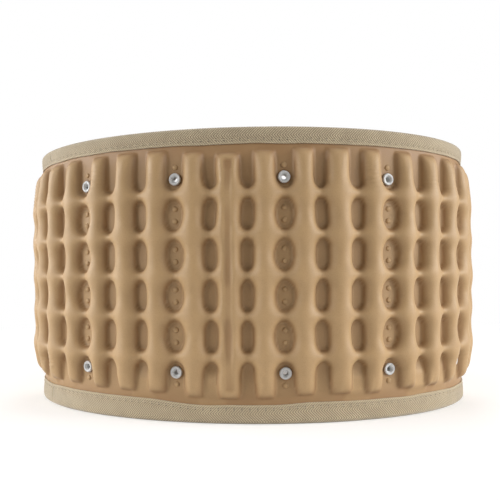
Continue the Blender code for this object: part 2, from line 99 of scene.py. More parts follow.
def colour(name, text, default):
    """Property for a linear colour."""
    return FloatVectorProperty(
        name=name, description=text, default=default, subtype="COLOR", min=0.0, max=1.0,
    )


class BeltSizes(bpy.types.PropertyGroup):
    """Sizes of the belt's soft pieces."""

    ring_half_width: length("Ring half width", "Middle of the wall to the ring's centre, sideways", 0.1675)
    half_girth: length("Half girth", "Lumbar centre to the middle of the back along the wall", 0.44925)
    overlap: length("Closure overlap", "How far each tab runs past the middle of the back", 0.050)
    tube_pitch: length("Tube pitch", "Weld line to weld line", 0.0235)
    tube_end: length("Tube end inset", "Belt edge to the end of the tubes", 0.0165)
    outer_crest: length("Outer crest", "Middle of the wall to the crest of a tube outside", 0.0098)
    inner_crest: length("Inner crest", "Middle of the wall to the crest of a tube inside", 0.0071)
    weld_face: length("Weld face", "Middle of the wall to the face of a weld", 0.00115)
    spot_pitch: length("Weld spot pitch", "Weld spot to weld spot along a line", 0.0261)
    spot_length: length("Weld spot length", "Length of one weld spot", 0.0196)
    spot_width: length("Weld spot width", "Width of a plain weld spot", 0.0085)
    wide_spot_width: length("Wide spot width", "Width of a weld spot on an eyelet line", 0.0118)
    tongue_reach: length("Tongue reach", "Middle height to the rounded end of the long end welds", 0.0558)
    groove_depth: length("Groove depth", "Depth of the groove down the centre tube", 0.0018)
    tape_width: length("Tape width", "Folded depth of the edge tape", 0.0110)
    low_tape_width: length("Low tape width", "Folded depth of the tape on the bottom edge", 0.0130)
    tape_face: length("Tape face", "Middle of the wall to the face of the tape", 0.00255)
    tape_thickness: length("Tape thickness", "Thickness of the edge tape", 0.0008)
    stitch_pitch: length("Stitch pitch", "Stitch to stitch", 0.0050)
    stitch_inset: length("Stitch inset", "Tape's inner edge to the row of stitches", 0.0026)
    eyelet_inset: length("Eyelet inset", "Belt edge to the eyelets", 0.0325)
    eyelet_radius: length("Eyelet radius", "Radius of an eyelet's flange", 0.0040)
    eyelet_bore: length("Eyelet bore", "Radius of an eyelet's hole", 0.0016)
    dome_radius: length("Dome radius", "Radius of the small moulded domes", 0.0019)
    skin_step: length("Skin step", "Spacing of the skin's mesh", 0.00102)


class BeltColours(bpy.types.PropertyGroup):
    """Colours of the belt's materials."""

    cloth: colour("Cloth", "Coated cloth on the tubes", (0.450, 0.292, 0.142))
    # The weld colour is partly painted shade from the tape's edge, and it is also the dark end of the painted
    # shade in the creases and on the flanks.
    weld: colour("Weld", "Coated cloth pressed in the welds", (0.285, 0.158, 0.070))
    tape: colour("Tape", "Raised yarns of the tape", (0.585, 0.478, 0.308))
    tape_gap: colour("Tape gaps", "Gaps between the tape's yarns", (0.175, 0.132, 0.082))
    thread: colour("Thread", "Sewing thread", (0.500, 0.410, 0.280))
    eyelet: colour("Eyelet", "White eyelets", (0.590, 0.595, 0.590))
    loop: colour("Loop", "Loop side of the fastener", (0.400, 0.290, 0.180))
    hook: colour("Hook", "Hook side of the fastener", (0.300, 0.210, 0.130))
    valve: colour("Valve", "Valve body", (0.600, 0.560, 0.480))
    cap: colour("Cap", "Dust cap", (0.050, 0.050, 0.052))
    spring: colour("Spring", "Steel of the valve's spring", (0.620, 0.620, 0.600))


class BeltStage(bpy.types.PropertyGroup):
    """Camera of the studio picture."""

    azimuth: rotation("Azimuth", "Turn of the camera towards the right", 0.106)
    distance: length("Distance", "Camera to the ring's centre", 0.5002)
    focal_pixels: pixels("Focal length", "Focal length of the camera", 600.0)
    picture: IntProperty(name="Picture size", description="Width and height", default=500, subtype="PIXEL")
    centre_x: pixels("Centre column", "Picture column of the view axis", 248.7)
    centre_y: pixels("Centre row", "Picture row of the view axis", 275.3)
    roll: rotation("Roll", "Tilt of the picture", 0.0079)


def sizes():
    """Sizes of the open scene."""
    return bpy.context.scene.belt_sizes


def colours():
    """Colours of the open scene."""
    return bpy.context.scene.belt_colours


# Places round the ring, in weld lines from the lumbar centre

LUMBAR_LINE = 8.5
PANEL_LINE = 13.5
SEAM_LINE = -6.5
TAPE_SEAM = 11.0
VALVE_TUBE = 12
WIDE_EVERY = 3
FIRST_WIDE = 1.5
EYELET_LINES = tuple(FIRST_WIDE + WIDE_EVERY * number for number in range(-4, 4))

# Shape of the ring

RING_POINTS = 6001
RING_HALVINGS = 60
RING_REACH = 1.5 * math.pi
HINGE_HALF = 0.0065
NOISE_CELLS = 97
TAB_RISE = 0.040
TAB_OFFSET = 0.0029


def line_arc(line):
    """Arc length of a weld line, or of a tube between two lines."""
    return line * sizes().tube_pitch


def midway(values):
    """Values halfway between neighbours."""
    return (values[1:] + values[:-1]) / 2


@functools.lru_cache
def ring():
    """Angles round the oval, the arc length at each, its half depth and its place in Y."""
    half_width = sizes().ring_half_width
    angle = np.linspace(0.0, RING_REACH, RING_POINTS)
    shallow, deep = 0.0, 1.0
    for _ in range(RING_HALVINGS):
        depth = (shallow + deep) / 2
        speed = np.hypot(half_width * np.cos(angle), depth * np.sin(angle))
        arc = np.concatenate([[0.0], np.cumsum(midway(speed) * np.diff(angle))])
        if np.interp(math.pi, angle, arc) < sizes().half_girth:
            shallow = depth
        else:
            deep = depth
    hinge = next(joint for joint in frame["joints"] if joint["name"] == "right_wing_hinge")["pos_m"]
    turn = np.interp(line_arc(LUMBAR_LINE), arc, angle)
    return angle, arc, depth, hinge[1] + depth * math.cos(turn)


def outward(arc):
    """Angle round the ring and the level outward direction at some arc lengths."""
    angles, arcs, depth, _ = ring()
    angle = np.sign(arc) * np.interp(np.abs(arc), arcs, angles)
    normal = np.stack([depth * np.sin(angle), -sizes().ring_half_width * np.cos(angle)], -1)
    return angle, normal / np.linalg.norm(normal, axis=-1, keepdims=True)


def on_ring(arc, out, height):
    """Points at arc lengths, distances out from the middle of the wall, and heights."""
    arc, out, height = np.broadcast_arrays(np.asarray(arc, float), out, height)
    angle, normal = outward(arc)
    _, _, depth, shift = ring()
    x = sizes().ring_half_width * np.sin(angle) + out * normal[..., 0]
    y = shift - depth * np.cos(angle) + out * normal[..., 1]
    return np.stack([x, y, height], -1)


def ring_place(arc, out, height):
    """Matrix at a place on the wall: local Z points out of the ring and local Y points up."""
    _, normal = outward(np.array(arc, float))
    away = Vector((*normal, 0.0))
    up = Vector((0.0, 0.0, 1.0))
    turn = Matrix((up.cross(away), up, away)).transposed().to_4x4()
    return Matrix.Translation(on_ring(arc, out, height)) @ turn


def smooth(value, low, high):
    """Smooth step from 0 at low to 1 at high."""
    share = np.clip((value - low) / (high - low), 0.0, 1.0)
    return share * share * (3 - 2 * share)


def band(value, start, full, fading, end):
    """1 between full and fading, easing to 0 at start and at end."""
    return smooth(value, start, full) * smooth(value, end, fading)


def grid_value(table, x, y, ease):
    """Values of a repeating table between its cells, with even or eased steps."""
    i, j = np.floor(x).astype(int), np.floor(y).astype(int)
    fx, fy = x - i, y - j
    if ease:
        fx, fy = smooth(fx, 0.0, 1.0), smooth(fy, 0.0, 1.0)
    columns, rows = table.shape
    i, j, k, m = i % columns, j % rows, (i + 1) % columns, (j + 1) % rows
    lower = table[i, j] * (1 - fx) + table[k, j] * fx
    upper = table[i, m] * (1 - fx) + table[k, m] * fx
    return lower * (1 - fy) + upper * fy


def soft_noise(across, up, size, seed):
    """Smooth seeded noise from -1 to 1 with features of a given size."""
    table = np.random.default_rng(seed).uniform(-1.0, 1.0, (NOISE_CELLS, NOISE_CELLS))
    return grid_value(table, across / size, up / size, ease=True)


def tab_out(arc, layer):
    """Offset of a closing tab: level with the wing at its root, then on its side of the closure."""
    start = line_arc(PANEL_LINE)
    return layer * TAB_OFFSET * smooth(np.abs(arc), start, start + TAB_RISE)


# Swell of the skins

FIELD_STEP = 0.0005
RELAX_ROUNDS = 900
SWELL_POWER = 0.64
CREST_PERCENT = 97
SPOT_ROWS = 4
MIDDLE_ROW = (SPOT_ROWS - 1) / 2
PLAIN_OVAL, WIDE_OVAL = 2.6, 2.2
TONGUE_ROUNDING = 0.6
TONGUE_FLARE, FLARE_LENGTH = 0.16, 0.010


def weld_line(arc):
    """Number of the nearest weld line."""
    return np.floor(arc / sizes().tube_pitch) + 0.5


def spot_level(arc, height):
    """Place in the nearest weld spot, 0 at its centre and 1 at its rim, and where its line is a wide one."""
    s = sizes()
    line = weld_line(arc)
    wide = np.mod(line, WIDE_EVERY) == FIRST_WIDE
    power = np.where(wide, WIDE_OVAL, PLAIN_OVAL)
    above = height - MIDDLE
    row = np.clip(np.round(above / s.spot_pitch + MIDDLE_ROW), 0, SPOT_ROWS - 1) - MIDDLE_ROW
    side = np.abs(arc - line_arc(line)) / (np.where(wide, s.wide_spot_width, s.spot_width) / 2)
    along = np.abs(above - row * s.spot_pitch) / (s.spot_length / 2)
    return (side ** power + along ** power) ** (1 / power), wide


def weld_mask(across, up):
    """Where the skins are welded over one repeat of three weld lines, the middle one wide."""
    s = sizes()
    mask = spot_level(across, up)[0] < 1
    past = np.abs(up - MIDDLE) - s.tongue_reach
    low_end = MIDDLE - s.tube_end
    flare = 1 + TONGUE_FLARE * smooth(MIDDLE - up, low_end - FLARE_LENGTH, low_end)
    for line, width in ((0.5, s.spot_width), (1.5, s.wide_spot_width), (2.5, s.spot_width)):
        side = np.abs(across - line_arc(line)) / (width / 2)
        short = 1 - np.clip(past / (TONGUE_ROUNDING * width), 0, 1)
        rounding = np.sqrt(np.clip(1 - short ** 2, 0, 1))
        mask |= (past > 0) & (side < rounding * flare)
    return mask


@functools.lru_cache
def swell_field():
    """Swell of a skin under air pressure over one repeat, from a relaxed membrane held at the welds."""
    s = sizes()
    across = np.arange(round(WIDE_EVERY * s.tube_pitch / FIELD_STEP)) * FIELD_STEP
    up = np.arange(s.tube_end, BELT_HEIGHT - s.tube_end + FIELD_STEP / 2, FIELD_STEP)
    free = ~weld_mask(*np.meshgrid(across, up, indexing="ij"))
    free[:, [0, -1]] = False
    swell = np.zeros(free.shape)
    for _ in range(RELAX_ROUNDS):
        sides = np.roll(swell, 1, 0) + np.roll(swell, -1, 0)
        ends = np.roll(swell, 1, 1) + np.roll(swell, -1, 1)
        swell = np.where(free, (sides + ends) / 4 + FIELD_STEP ** 2 / 2, 0.0)
    field = swell ** SWELL_POWER
    field = (np.roll(field, 1, 0) + 2 * field + np.roll(field, -1, 0)) / 4
    padded = np.pad(field, ((0, 0), (1, 1)))
    field = (padded[:, :-2] + 2 * padded[:, 1:-1] + padded[:, 2:]) / 4
    return field / np.percentile(field, CREST_PERCENT)


def swell_at(arc, height):
    """Swell of the skin, 0 in the welds and about 1 on the tubes, at arc lengths and heights."""
    s = sizes()
    field = swell_field()
    x = np.mod(arc, WIDE_EVERY * s.tube_pitch) / FIELD_STEP
    y = np.clip((height - s.tube_end) / FIELD_STEP, 0, field.shape[1] - 1)
    inside = (height > s.tube_end) & (height < BELT_HEIGHT - s.tube_end)
    return np.where(inside, grid_value(field, x, y, ease=False), 0.0)


def low_rise(arc):
    """Share by which the tube ends and the tape's edge rise towards the sides along the bottom."""
    lean, lean_reach = 0.4, 0.080
    return smooth(np.abs(arc), low=0.012, high=0.060) * (1 - lean * np.clip(arc / lean_reach, -1, 1))


def tube_end_shift(arc, above):
    """How far the ends of the tubes lie beyond their regular height, tube by tube."""
    pitch = sizes().tube_pitch
    tube = line_arc(np.round(arc / pitch))
    top_gain, low_gain, low_spread, low_fall = 0.0030, 0.0003, 0.0009, 0.0029
    top = top_gain * smooth(np.abs(tube), low=line_arc(0.5), high=line_arc(1.5))
    low = low_gain + low_spread * soft_noise(tube, 0 * arc, size=pitch, seed=47) - low_fall * low_rise(tube)
    return np.where(above < 0, low, top) * smooth(np.abs(above), low=0.056, high=0.080)


def tube_swell(arc, height, side, drift):
    """Swell of the tubes with their uneven ends and fullness, closing at the ends of the panel."""
    above = height - MIDDLE
    mean_fill, fill_spread = 0.99, 0.06
    swell = swell_at(arc + drift, height - np.sign(above) * tube_end_shift(arc, above))
    swell = swell * (mean_fill + fill_spread * soft_noise(arc, height, size=0.030, seed=5 + side))
    return swell * smooth(line_arc(PANEL_LINE) - np.abs(arc), low=0.002, high=0.009)


# Folds, pressed lines and tones of the skins

DRIFT = 0.0009
SPOT_RISE = 0.0006
GROOVE_SHADE = 0.72
RIM_DEPTH = 0.00018
BULGE_HEIGHT = 0.0028
VALVE_SEAT_RADIUS, VALVE_SEAT_SLOPE = 0.0090, 0.004
VALVE_SEAT_CHORD, VALVE_SEAT_CREST = 0.0085, 0.0095
# The crease tone is painted shade beside the tubes, and the crest gains are painted light on the crests and
# their tops.
MARGIN_TONE, CREASE_TONE, CREST_GAIN, CREST_TOP_GAIN = 0.27, 0.14, 0.86, 0.25
SPOT_TONE, WIDE_SPOT_TONE, RIM_TONE = 0.40, 0.55, 0.30
TONGUE_TONE, LOW_TONGUE_TONE = 0.22, 0.40
LOW_MARGIN_TONE, BULGE_TONE = 0.05, 0.50


def spot_rise(from_middle):
    """Rise of the weld spots' floors over the margins, at distances from the middle height."""
    return SPOT_RISE * smooth(from_middle, low=0.0550, high=0.0500)


def centre_groove(arc, height):
    """Groove down the centre tube, as a share of its depth, with a small dent at its top."""
    half_width, uneven, dent_squareness = 0.0028, 0.35, 6
    dent_share, dent_half_width, dent_half_height, dent_inset = 0.25, 0.0036, 0.0032, 0.0245
    groove = np.exp(-(arc / half_width) ** 4) * smooth(np.abs(height - MIDDLE), low=0.0755, high=0.072)
    groove = groove * (1 + uneven * soft_noise(arc, height, size=0.012, seed=23))
    along = ((height - BELT_HEIGHT + dent_inset) / dent_half_height) ** dent_squareness
    across = (arc / dent_half_width) ** dent_squareness
    return groove + dent_share * np.exp(-across - along)


def tube_folds(arc, height, swell):
    """Height of the pleats at the tube ends, the creases near them and the uneven cloth on the tubes."""
    from_middle = np.abs(height - MIDDLE)
    pleat_depth, pleat_pitch, pleat_sway = 0.00012, 0.0031, 2.0
    crease_depth, crease_pitch, crease_sway = 0.00030, 0.0027, 3.0
    crease_stretch, uneven_depth, uneven_gain = 0.4, 0.00022, 1.5
    sway = pleat_sway * soft_noise(arc, height, size=0.009, seed=31)
    pleat = pleat_depth * np.sin(2 * math.pi * arc / pleat_pitch + sway)
    pleat = pleat * band(from_middle, start=0.066, full=0.074, fading=0.075, end=0.0785)
    sway = crease_sway * soft_noise(arc, height, size=0.014, seed=37)
    crease = crease_depth * np.sin(2 * math.pi * height / crease_pitch + sway)
    crease = crease * band(from_middle, start=0.050, full=0.064, fading=0.072, end=0.078)
    patches = soft_noise(arc, crease_stretch * height, size=0.019, seed=39)
    crease = crease * smooth(patches, low=0.0, high=0.7)
    uneven = uneven_depth * soft_noise(arc, height, size=0.0075, seed=41)
    return (pleat + crease) * np.clip(swell, 0, 1) + uneven * np.clip(uneven_gain * swell, 0, 1)


def pressed_rim(level, wide, from_middle):
    """Line pressed round the floor of a weld spot, fainter in the plain ones."""
    at, width = 0.80, 0.07
    rim = np.exp(-((level - at) / width) ** 2) * np.where(wide, 1.0, 0.5)
    return rim * smooth(from_middle, low=0.056, high=0.050)


def loose_cloth(arc, height, wide):
    """Share of slack cloth between the tube ends, on some of the plain weld lines."""
    pitch = sizes().tube_pitch
    fold_slant, fold_stretch, fold_share, slack_gain = 0.6, 0.35, 0.2, 1.7
    gone, full = 0.46 * pitch, 0.28 * pitch
    centre = line_arc(weld_line(arc))
    fold = soft_noise(arc + fold_slant * height, fold_stretch * height, size=0.010, seed=43)
    slack = np.clip(slack_gain * soft_noise(centre, 0 * arc, size=pitch, seed=581), 0, 1)
    between = smooth(np.abs(arc - centre), gone, full)
    return np.where(wide, 0.0, slack) * between * (1 - fold_share + fold_share * fold)


def valve_flat(arc, height):
    """Share of the flat that the valve presses into the outer skin."""
    away = np.hypot(arc - line_arc(VALVE_TUBE), height - MIDDLE)
    return smooth(away, low=VALVE_SEAT_RADIUS + VALVE_SEAT_SLOPE, high=VALVE_SEAT_RADIUS)


@functools.lru_cache
def valve_seat_out():
    """Height of the flat under the valve: the crest less the sag of the CAD seat's chord."""
    arc = line_arc(VALVE_TUBE)
    ends = np.array([arc - VALVE_SEAT_CHORD, arc + VALVE_SEAT_CHORD])
    chord = on_ring(ends, VALVE_SEAT_CREST, 0.0).mean(0)
    return float(np.linalg.norm(chord[:2] - on_ring(arc, 0.0, 0.0)[:2]))


def skin_tone(above, swell, wide, rim, bulge):
    """Tone of the cloth: pressed floors, margins darkened by painted shade, painted light on slack cloth and
    tongues, painted shade in the creases and on the flanks, and painted light on the crests.
    """
    from_middle = np.abs(above)
    crest_top_start, crest_top_end = 0.9, 1.1
    # The margins keep the welds' own dark colour, deepened by painted shade from the tape's edge; the weld
    # spots are lifted above them.
    floor = MARGIN_TONE - RIM_TONE * rim
    floor = floor + np.where(wide, WIDE_SPOT_TONE, SPOT_TONE) * smooth(from_middle, low=0.0620, high=0.0540)
    # The bottom margin is a little lighter, and the bulges of slack cloth get painted light.
    floor = floor + smooth(-above, low=0.058, high=0.068) * (LOW_MARGIN_TONE + BULGE_TONE * bulge)
    tongue = band(from_middle, start=0.054, full=0.060, fading=0.072, end=0.080)
    # Painted light on the tongues, lifting the shade that falls between the tubes.
    floor = floor + np.where(above < 0, LOW_TONGUE_TONE, TONGUE_TONE) * tongue
    # Painted shade in the creases and on the flanks beside the tubes, and painted light rising to the crests
    # and their tops.
    tone = floor + (CREASE_TONE - floor) * smooth(swell, low=0.0, high=0.10)
    tone = tone + CREST_GAIN * smooth(swell, low=0.12, high=0.60)
    return tone + CREST_TOP_GAIN * (np.clip(swell, crest_top_start, crest_top_end) - crest_top_start)


def skin_out(arc, height, side):
    """How far a skin stands out, and its tone from crease to crest, at arc lengths and heights."""
    s = sizes()
    above = height - MIDDLE
    from_middle = np.abs(above)
    drift = DRIFT * soft_noise(arc, height, size=0.021, seed=11 + side)
    drift = drift * smooth(from_middle, low=0.085, high=0.06)
    swell = tube_swell(arc, height, side, drift)
    crest = s.outer_crest if side > 0 else s.inner_crest
    floor = s.weld_face + spot_rise(from_middle)
    groove = centre_groove(arc, height)
    out = floor + (crest - floor) * swell - s.groove_depth * groove
    swell = swell * (1 - GROOVE_SHADE * np.clip(groove, 0, 1))
    level, wide = spot_level(arc + drift, height)
    rim = pressed_rim(level, wide, from_middle)
    bulge = loose_cloth(arc, height, wide)
    low_margin = band(-above, start=0.058, full=0.068, fading=0.0740, end=0.0805)
    out = out + tube_folds(arc, height, swell) - RIM_DEPTH * rim
    out = out + BULGE_HEIGHT * bulge * low_margin * (1 - np.clip(swell, 0, 1))
    if side > 0:
        flat = valve_flat(arc, height)
        out = out * (1 - flat) + valve_seat_out() * flat
    return out, skin_tone(above, swell, wide, rim, bulge)


# Meshes of the skins

CLOTH_EDGE = 0.0016
BACK_STEP, BACK_OUT = 0.009, 0.0001
EYELET_HOLE, EYELET_SHADE = 0.66, 0.6
SHADE_START, SHADE_FULL = 1.38, 1.08
CLOSE = 1e-7


def eyelet_rows():
    """Heights of the eyelets, from the bottom."""
    return sizes().eyelet_inset, BELT_HEIGHT - sizes().eyelet_inset


def stops(start, end, step, marks=()):
    """Rising values from start to end through some marks, in steps no longer than a given one."""
    points = [start, *sorted({mark for mark in marks if start < mark < end}), end]
    runs = [np.linspace(a, b, max(1, math.ceil((b - a) / step)) + 1)[:-1] for a, b in zip(points, points[1:])]
    return np.concatenate(runs + [[end]])


def grid_quads(start, columns, rows, keep=None):
    """Quads of a grid stored column by column, leaving out cells that keep refuses."""
    faces = []
    for column in range(columns - 1):
        for row in range(rows - 1):
            if keep is None or keep[column, row]:
                first = start + column * rows + row
                faces.append((first, first + rows, first + rows + 1, first + 1))
    return faces


def grid_line(arcs, rows, base, axis, value, span):
    """Numbers and places of a grid's points along the line nearest a value, inside a span."""
    fixed, free = (arcs, rows) if axis == "arc" else (rows, arcs)
    at = int(np.argmin(np.abs(fixed - value)))
    inside = np.flatnonzero((free >= span[0] - CLOSE) & (free <= span[1] + CLOSE))
    numbers = at * len(rows) + inside if axis == "arc" else inside * len(rows) + at
    return (base + numbers).tolist(), free[inside].tolist()


def zip_lines(first, second, first_at, second_at):
    """Triangles between two lines of points that run side by side."""
    faces, i, j = [], 0, 0
    while i < len(first) - 1 or j < len(second) - 1:
        go_first = j == len(second) - 1 or (i < len(first) - 1 and first_at[i + 1] <= second_at[j + 1])
        if go_first:
            faces.append((first[i], first[i + 1], second[j]))
            i += 1
        else:
            faces.append((first[i], second[j + 1], second[j]))
            j += 1
    return faces


def put_in_scene(name, data):
    """New object that holds some data, linked to the scene."""
    obj = bpy.data.objects.new(name, data)
    bpy.context.collection.objects.link(obj)
    return obj


def set_tone(mesh, values):
    """Stores the tone that the coated cloth reads at each point."""
    mesh.attributes.new("tone", "FLOAT", "POINT").data.foreach_set("value", np.asarray(values, np.float32))


def new_piece(name, points, faces, uv=None):
    """Object of a mesh in world coordinates, faces turned outwards and shaded smooth."""
    mesh = bpy.data.meshes.new(name)
    mesh.from_pydata([tuple(point) for point in points], [], faces)
    shape = bmesh.new()
    shape.from_mesh(mesh)
    bmesh.ops.recalc_face_normals(shape, faces=shape.faces)
    shape.to_mesh(mesh)
    shape.free()
    mesh.shade_smooth()
    if uv is not None:
        corner = np.empty(len(mesh.loops), np.int32)
        mesh.loops.foreach_get("vertex_index", corner)
        mesh.uv_layers.new(name="UVMap").data.foreach_set("uv", np.asarray(uv, np.float32)[corner].ravel())
    return put_in_scene(name, mesh)


def skin_walls(grids, borders):
    """Faces that join a skin's front and back along some borders, and the edges where they turn."""
    faces, rims = [], set()
    for left, right, bottom, top in borders:
        sides = [("arc", value, (bottom, top)) for value in (left, right)]
        sides += [("row", value, (left, right)) for value in (bottom, top)]
        for axis, value, span in sides:
            (front, front_at), (back, back_at) = [grid_line(*grid, axis, value, span) for grid in grids]
            faces += zip_lines(front, back, front_at, back_at)
            rims.update(frozenset(pair) for line in (front, back) for pair in zip(line, line[1:]))
    return faces, rims


def make_skin(name, first, last, side):
    """Closed skin between two weld lines: a fine outer face, a plain back and holes for the eyelets."""
    s = sizes()
    hole = EYELET_HOLE * s.eyelet_radius
    lines = [line_arc(line) for line in EYELET_LINES if first < line < last]
    centres = [(arc, height) for arc in lines for height in eyelet_rows()]
    start, end = line_arc(first), line_arc(last)
    low, high = CLOTH_EDGE, BELT_HEIGHT - CLOTH_EDGE
    arc_marks = [arc + k * hole for arc in lines for k in (-1, 1)]
    row_marks = [height + k * hole for height in eyelet_rows() for k in (-1, 1)]
    rows = stops(low, high, s.skin_step, row_marks)
    grids, points, tones, faces, base = [], [], [], [], 0
    for front, step in ((True, s.skin_step), (False, BACK_STEP)):
        arcs = stops(start, end, step, arc_marks)
        arc, row = np.meshgrid(arcs, rows, indexing="ij")
        out, tone = skin_out(arc, row, side) if front else (np.full(arc.shape, BACK_OUT), np.zeros(arc.shape))
        mid_arc, mid_row = np.meshgrid(midway(arcs), midway(rows), indexing="ij")
        keep = np.ones(mid_arc.shape, bool)
        for at, height in centres:
            near = np.hypot(arc - at, row - height) / s.eyelet_radius
            tone = tone - EYELET_SHADE * smooth(near, SHADE_START, SHADE_FULL)
            keep &= (np.abs(mid_arc - at) > hole) | (np.abs(mid_row - height) > hole)
        points.append(on_ring(arc, side * out, row).reshape(-1, 3))
        tones.append(tone.ravel())
        faces += grid_quads(base, len(arcs), len(rows), keep)
        grids.append((arcs, rows, base))
        base += arc.size
    borders = [(start, end, low, high)]
    borders += [(at - hole, at + hole, height - hole, height + hole) for at, height in centres]
    walls, rims = skin_walls(grids, borders)
    skin = new_piece(name, np.concatenate(points), faces + walls)
    set_tone(skin.data, np.concatenate(tones))
    sharp = [frozenset(edge.vertices) in rims for edge in skin.data.edges]
    skin.data.attributes.new("sharp_edge", "BOOLEAN", "EDGE").data.foreach_set("value", sharp)
    return skin


# Sheets and stitches

STITCH_SIDES, STITCH_RINGS = 6, 4
STITCH_SHARE, THREAD_RADIUS = 0.40, 0.00030
TAPE_STEP, TAPE_ROWS, TAPE_END_GAP = 0.0014, 31, 0.0002
LOW_TAPE_WAVE = 0.0022
SEAM_PULL, SEAM_SPREAD, EVEN_PULL = 0.00022, 0.0012, 0.6
SELVAGE_PULL, PULL_START = 0.00045, 0.4
SELVAGE_WAVE, SELVAGE_WAVE_SIZE, WAVE_START = 0.00035, 0.017, 0.5
STITCH_SINK = 0.00048


def only(obj):
    """Makes obj the one selected and active object."""
    bpy.ops.object.select_all(action="DESELECT")
    obj.select_set(True)
    bpy.context.view_layer.objects.active = obj


def make_sheet(name, arcs, rows, place, thickness, uv):
    """Sheet over a grid, thickened inwards from the face that place gives."""
    arc, row = np.meshgrid(arcs, rows, indexing="ij")
    faces = grid_quads(0, len(arcs), len(rows))
    sheet = new_piece(name, place(arc, row).reshape(-1, 3), faces, uv=uv(arc, row).reshape(-1, 2))
    only(sheet)
    wall = sheet.modifiers.new("wall", "SOLIDIFY")
    wall.thickness = thickness
    wall.offset = -1.0
    wall.use_even_offset = True
    bpy.ops.object.modifier_apply(modifier=wall.name)
    return sheet


def face_uv(arc, row):
    """Place on a sheet's own face."""
    return np.stack([arc, row], -1)


@functools.lru_cache
def unit_ball(segments, rings):
    """Points and faces of a ball from Blender's primitive, for stitches and domes."""
    bpy.ops.object.select_all(action="DESELECT")
    bpy.ops.mesh.primitive_uv_sphere_add(segments=segments, ring_count=rings, radius=1.0)
    mesh = bpy.context.object.data
    points = np.array([vert.co for vert in mesh.vertices])
    faces = [tuple(face.vertices) for face in mesh.polygons]
    bpy.data.meshes.remove(mesh)
    return points, faces


def scatter(name, matrices, segments, rings):
    """One object of many balls, each shaped and placed by a matrix."""
    ball, ball_faces = unit_ball(segments, rings)
    points, faces = [], []
    for matrix in matrices:
        base = len(points) * len(ball)
        turn = np.array(matrix)
        points.append(ball @ turn[:3, :3].T + turn[:3, 3])
        faces += [tuple(base + i for i in face) for face in ball_faces]
    return new_piece(name, np.concatenate(points), faces)


def stitch_matrix(arc, out, height, upright):
    """Matrix of one stitch that lies on the wall, level or upright."""
    half = STITCH_SHARE * sizes().stitch_pitch
    across, up = (THREAD_RADIUS, half) if upright else (half, THREAD_RADIUS)
    return ring_place(arc, out, height) @ Matrix.Diagonal((across, up, THREAD_RADIUS, 1))


def sew(name, matrices):
    """One object of many stitches, in the finish of the thread."""
    stitches = scatter(name, matrices, STITCH_SIDES, STITCH_RINGS)
    dress(stitches, plain_material("thread"))
    return stitches


def edge_tape_width(top):
    """Folded depth of the tape on the top or the bottom edge."""
    return sizes().tape_width if top else sizes().low_tape_width


def flat_tape_width(width):
    """Width of a tape before it is folded over an edge."""
    return 2 * (width - sizes().tape_face) + math.pi * sizes().tape_face


def tape_path(row, width):
    """Out and depth of the folded tape at a distance across it, from the outer edge over the fold."""
    radius = sizes().tape_face
    leg = width - radius
    round_fold = math.pi * radius
    turn = np.clip((row - leg) / round_fold, 0, 1) * math.pi
    past = np.where(row > leg + round_fold, radius + row - leg - round_fold, radius * (1 - np.sin(turn)))
    return radius * np.cos(turn), np.where(row < leg, width - row, past)


def tape_shift(arc, top):
    """How much further the tape lies on its outer face than on its inner one, along an edge."""
    return 0.0 * arc if top else LOW_TAPE_WAVE * (low_rise(arc) - 0.5)


def from_selvage(row, flat):
    """Distance from the nearer edge of a tape."""
    return np.minimum(row, flat - row)


def make_tape(name, start, end, layer, top):
    """Tape folded over the top or bottom edge, drawn in along its stitches."""
    s = sizes()
    width = edge_tape_width(top)
    flat = flat_tape_width(width)
    edge_seed = 51 + top

    def place(arc, row):
        """Points of the tape's face at arc lengths and distances across it."""
        out, depth = tape_path(row - tape_shift(arc, top), width)
        seam = np.exp(-((from_selvage(row, flat) - s.stitch_inset) / SEAM_SPREAD) ** 2)
        wave = 0.5 + 0.5 * np.cos(2 * math.pi * arc / s.stitch_pitch)
        pull = SEAM_PULL * seam * (EVEN_PULL + (1 - EVEN_PULL) * wave)
        pull = pull + SELVAGE_PULL * smooth(depth, PULL_START * width, width)
        edge = smooth(depth, WAVE_START * width, width)
        depth = depth + SELVAGE_WAVE * edge * soft_noise(arc, 0 * row, SELVAGE_WAVE_SIZE, edge_seed)
        height = BELT_HEIGHT - depth if top else depth
        return on_ring(arc, tab_out(arc, layer) + out - np.sign(out) * pull, height)

    def uv(arc, row):
        """Distances along the tape, kept above 0, and from its edge."""
        return np.stack([arc + 1.0, from_selvage(row, flat)], -1)

    arcs = stops(start, end, TAPE_STEP)
    return make_sheet(name, arcs, np.linspace(0.0, flat, TAPE_ROWS), place, s.tape_thickness, uv)


def make_tape_stitches(name, start, end, layer, top):
    """Row of stitches through a tape, on both faces."""
    s = sizes()
    face = s.tape_face - STITCH_SINK
    matrices = []
    for arc in np.arange(start + s.stitch_pitch, end, s.stitch_pitch):
        for side in (-1, 1):
            depth = edge_tape_width(top) + side * tape_shift(arc, top) - s.stitch_inset
            height = BELT_HEIGHT - depth if top else depth
            matrices.append(stitch_matrix(arc, tab_out(arc, layer) + side * face, height, upright=False))
    return sew(name, matrices)


# Turned pieces

MERGE_DISTANCE = 1e-6
SHARP_CORNER = math.radians(50)


def rounded(centre, radius, start, end, count):
    """Points of an arc in a turned profile, angles in degrees from outwards."""
    turns = np.radians(np.linspace(start, end, count))
    return [(centre[0] + radius * math.cos(turn), centre[1] + radius * math.sin(turn)) for turn in turns]


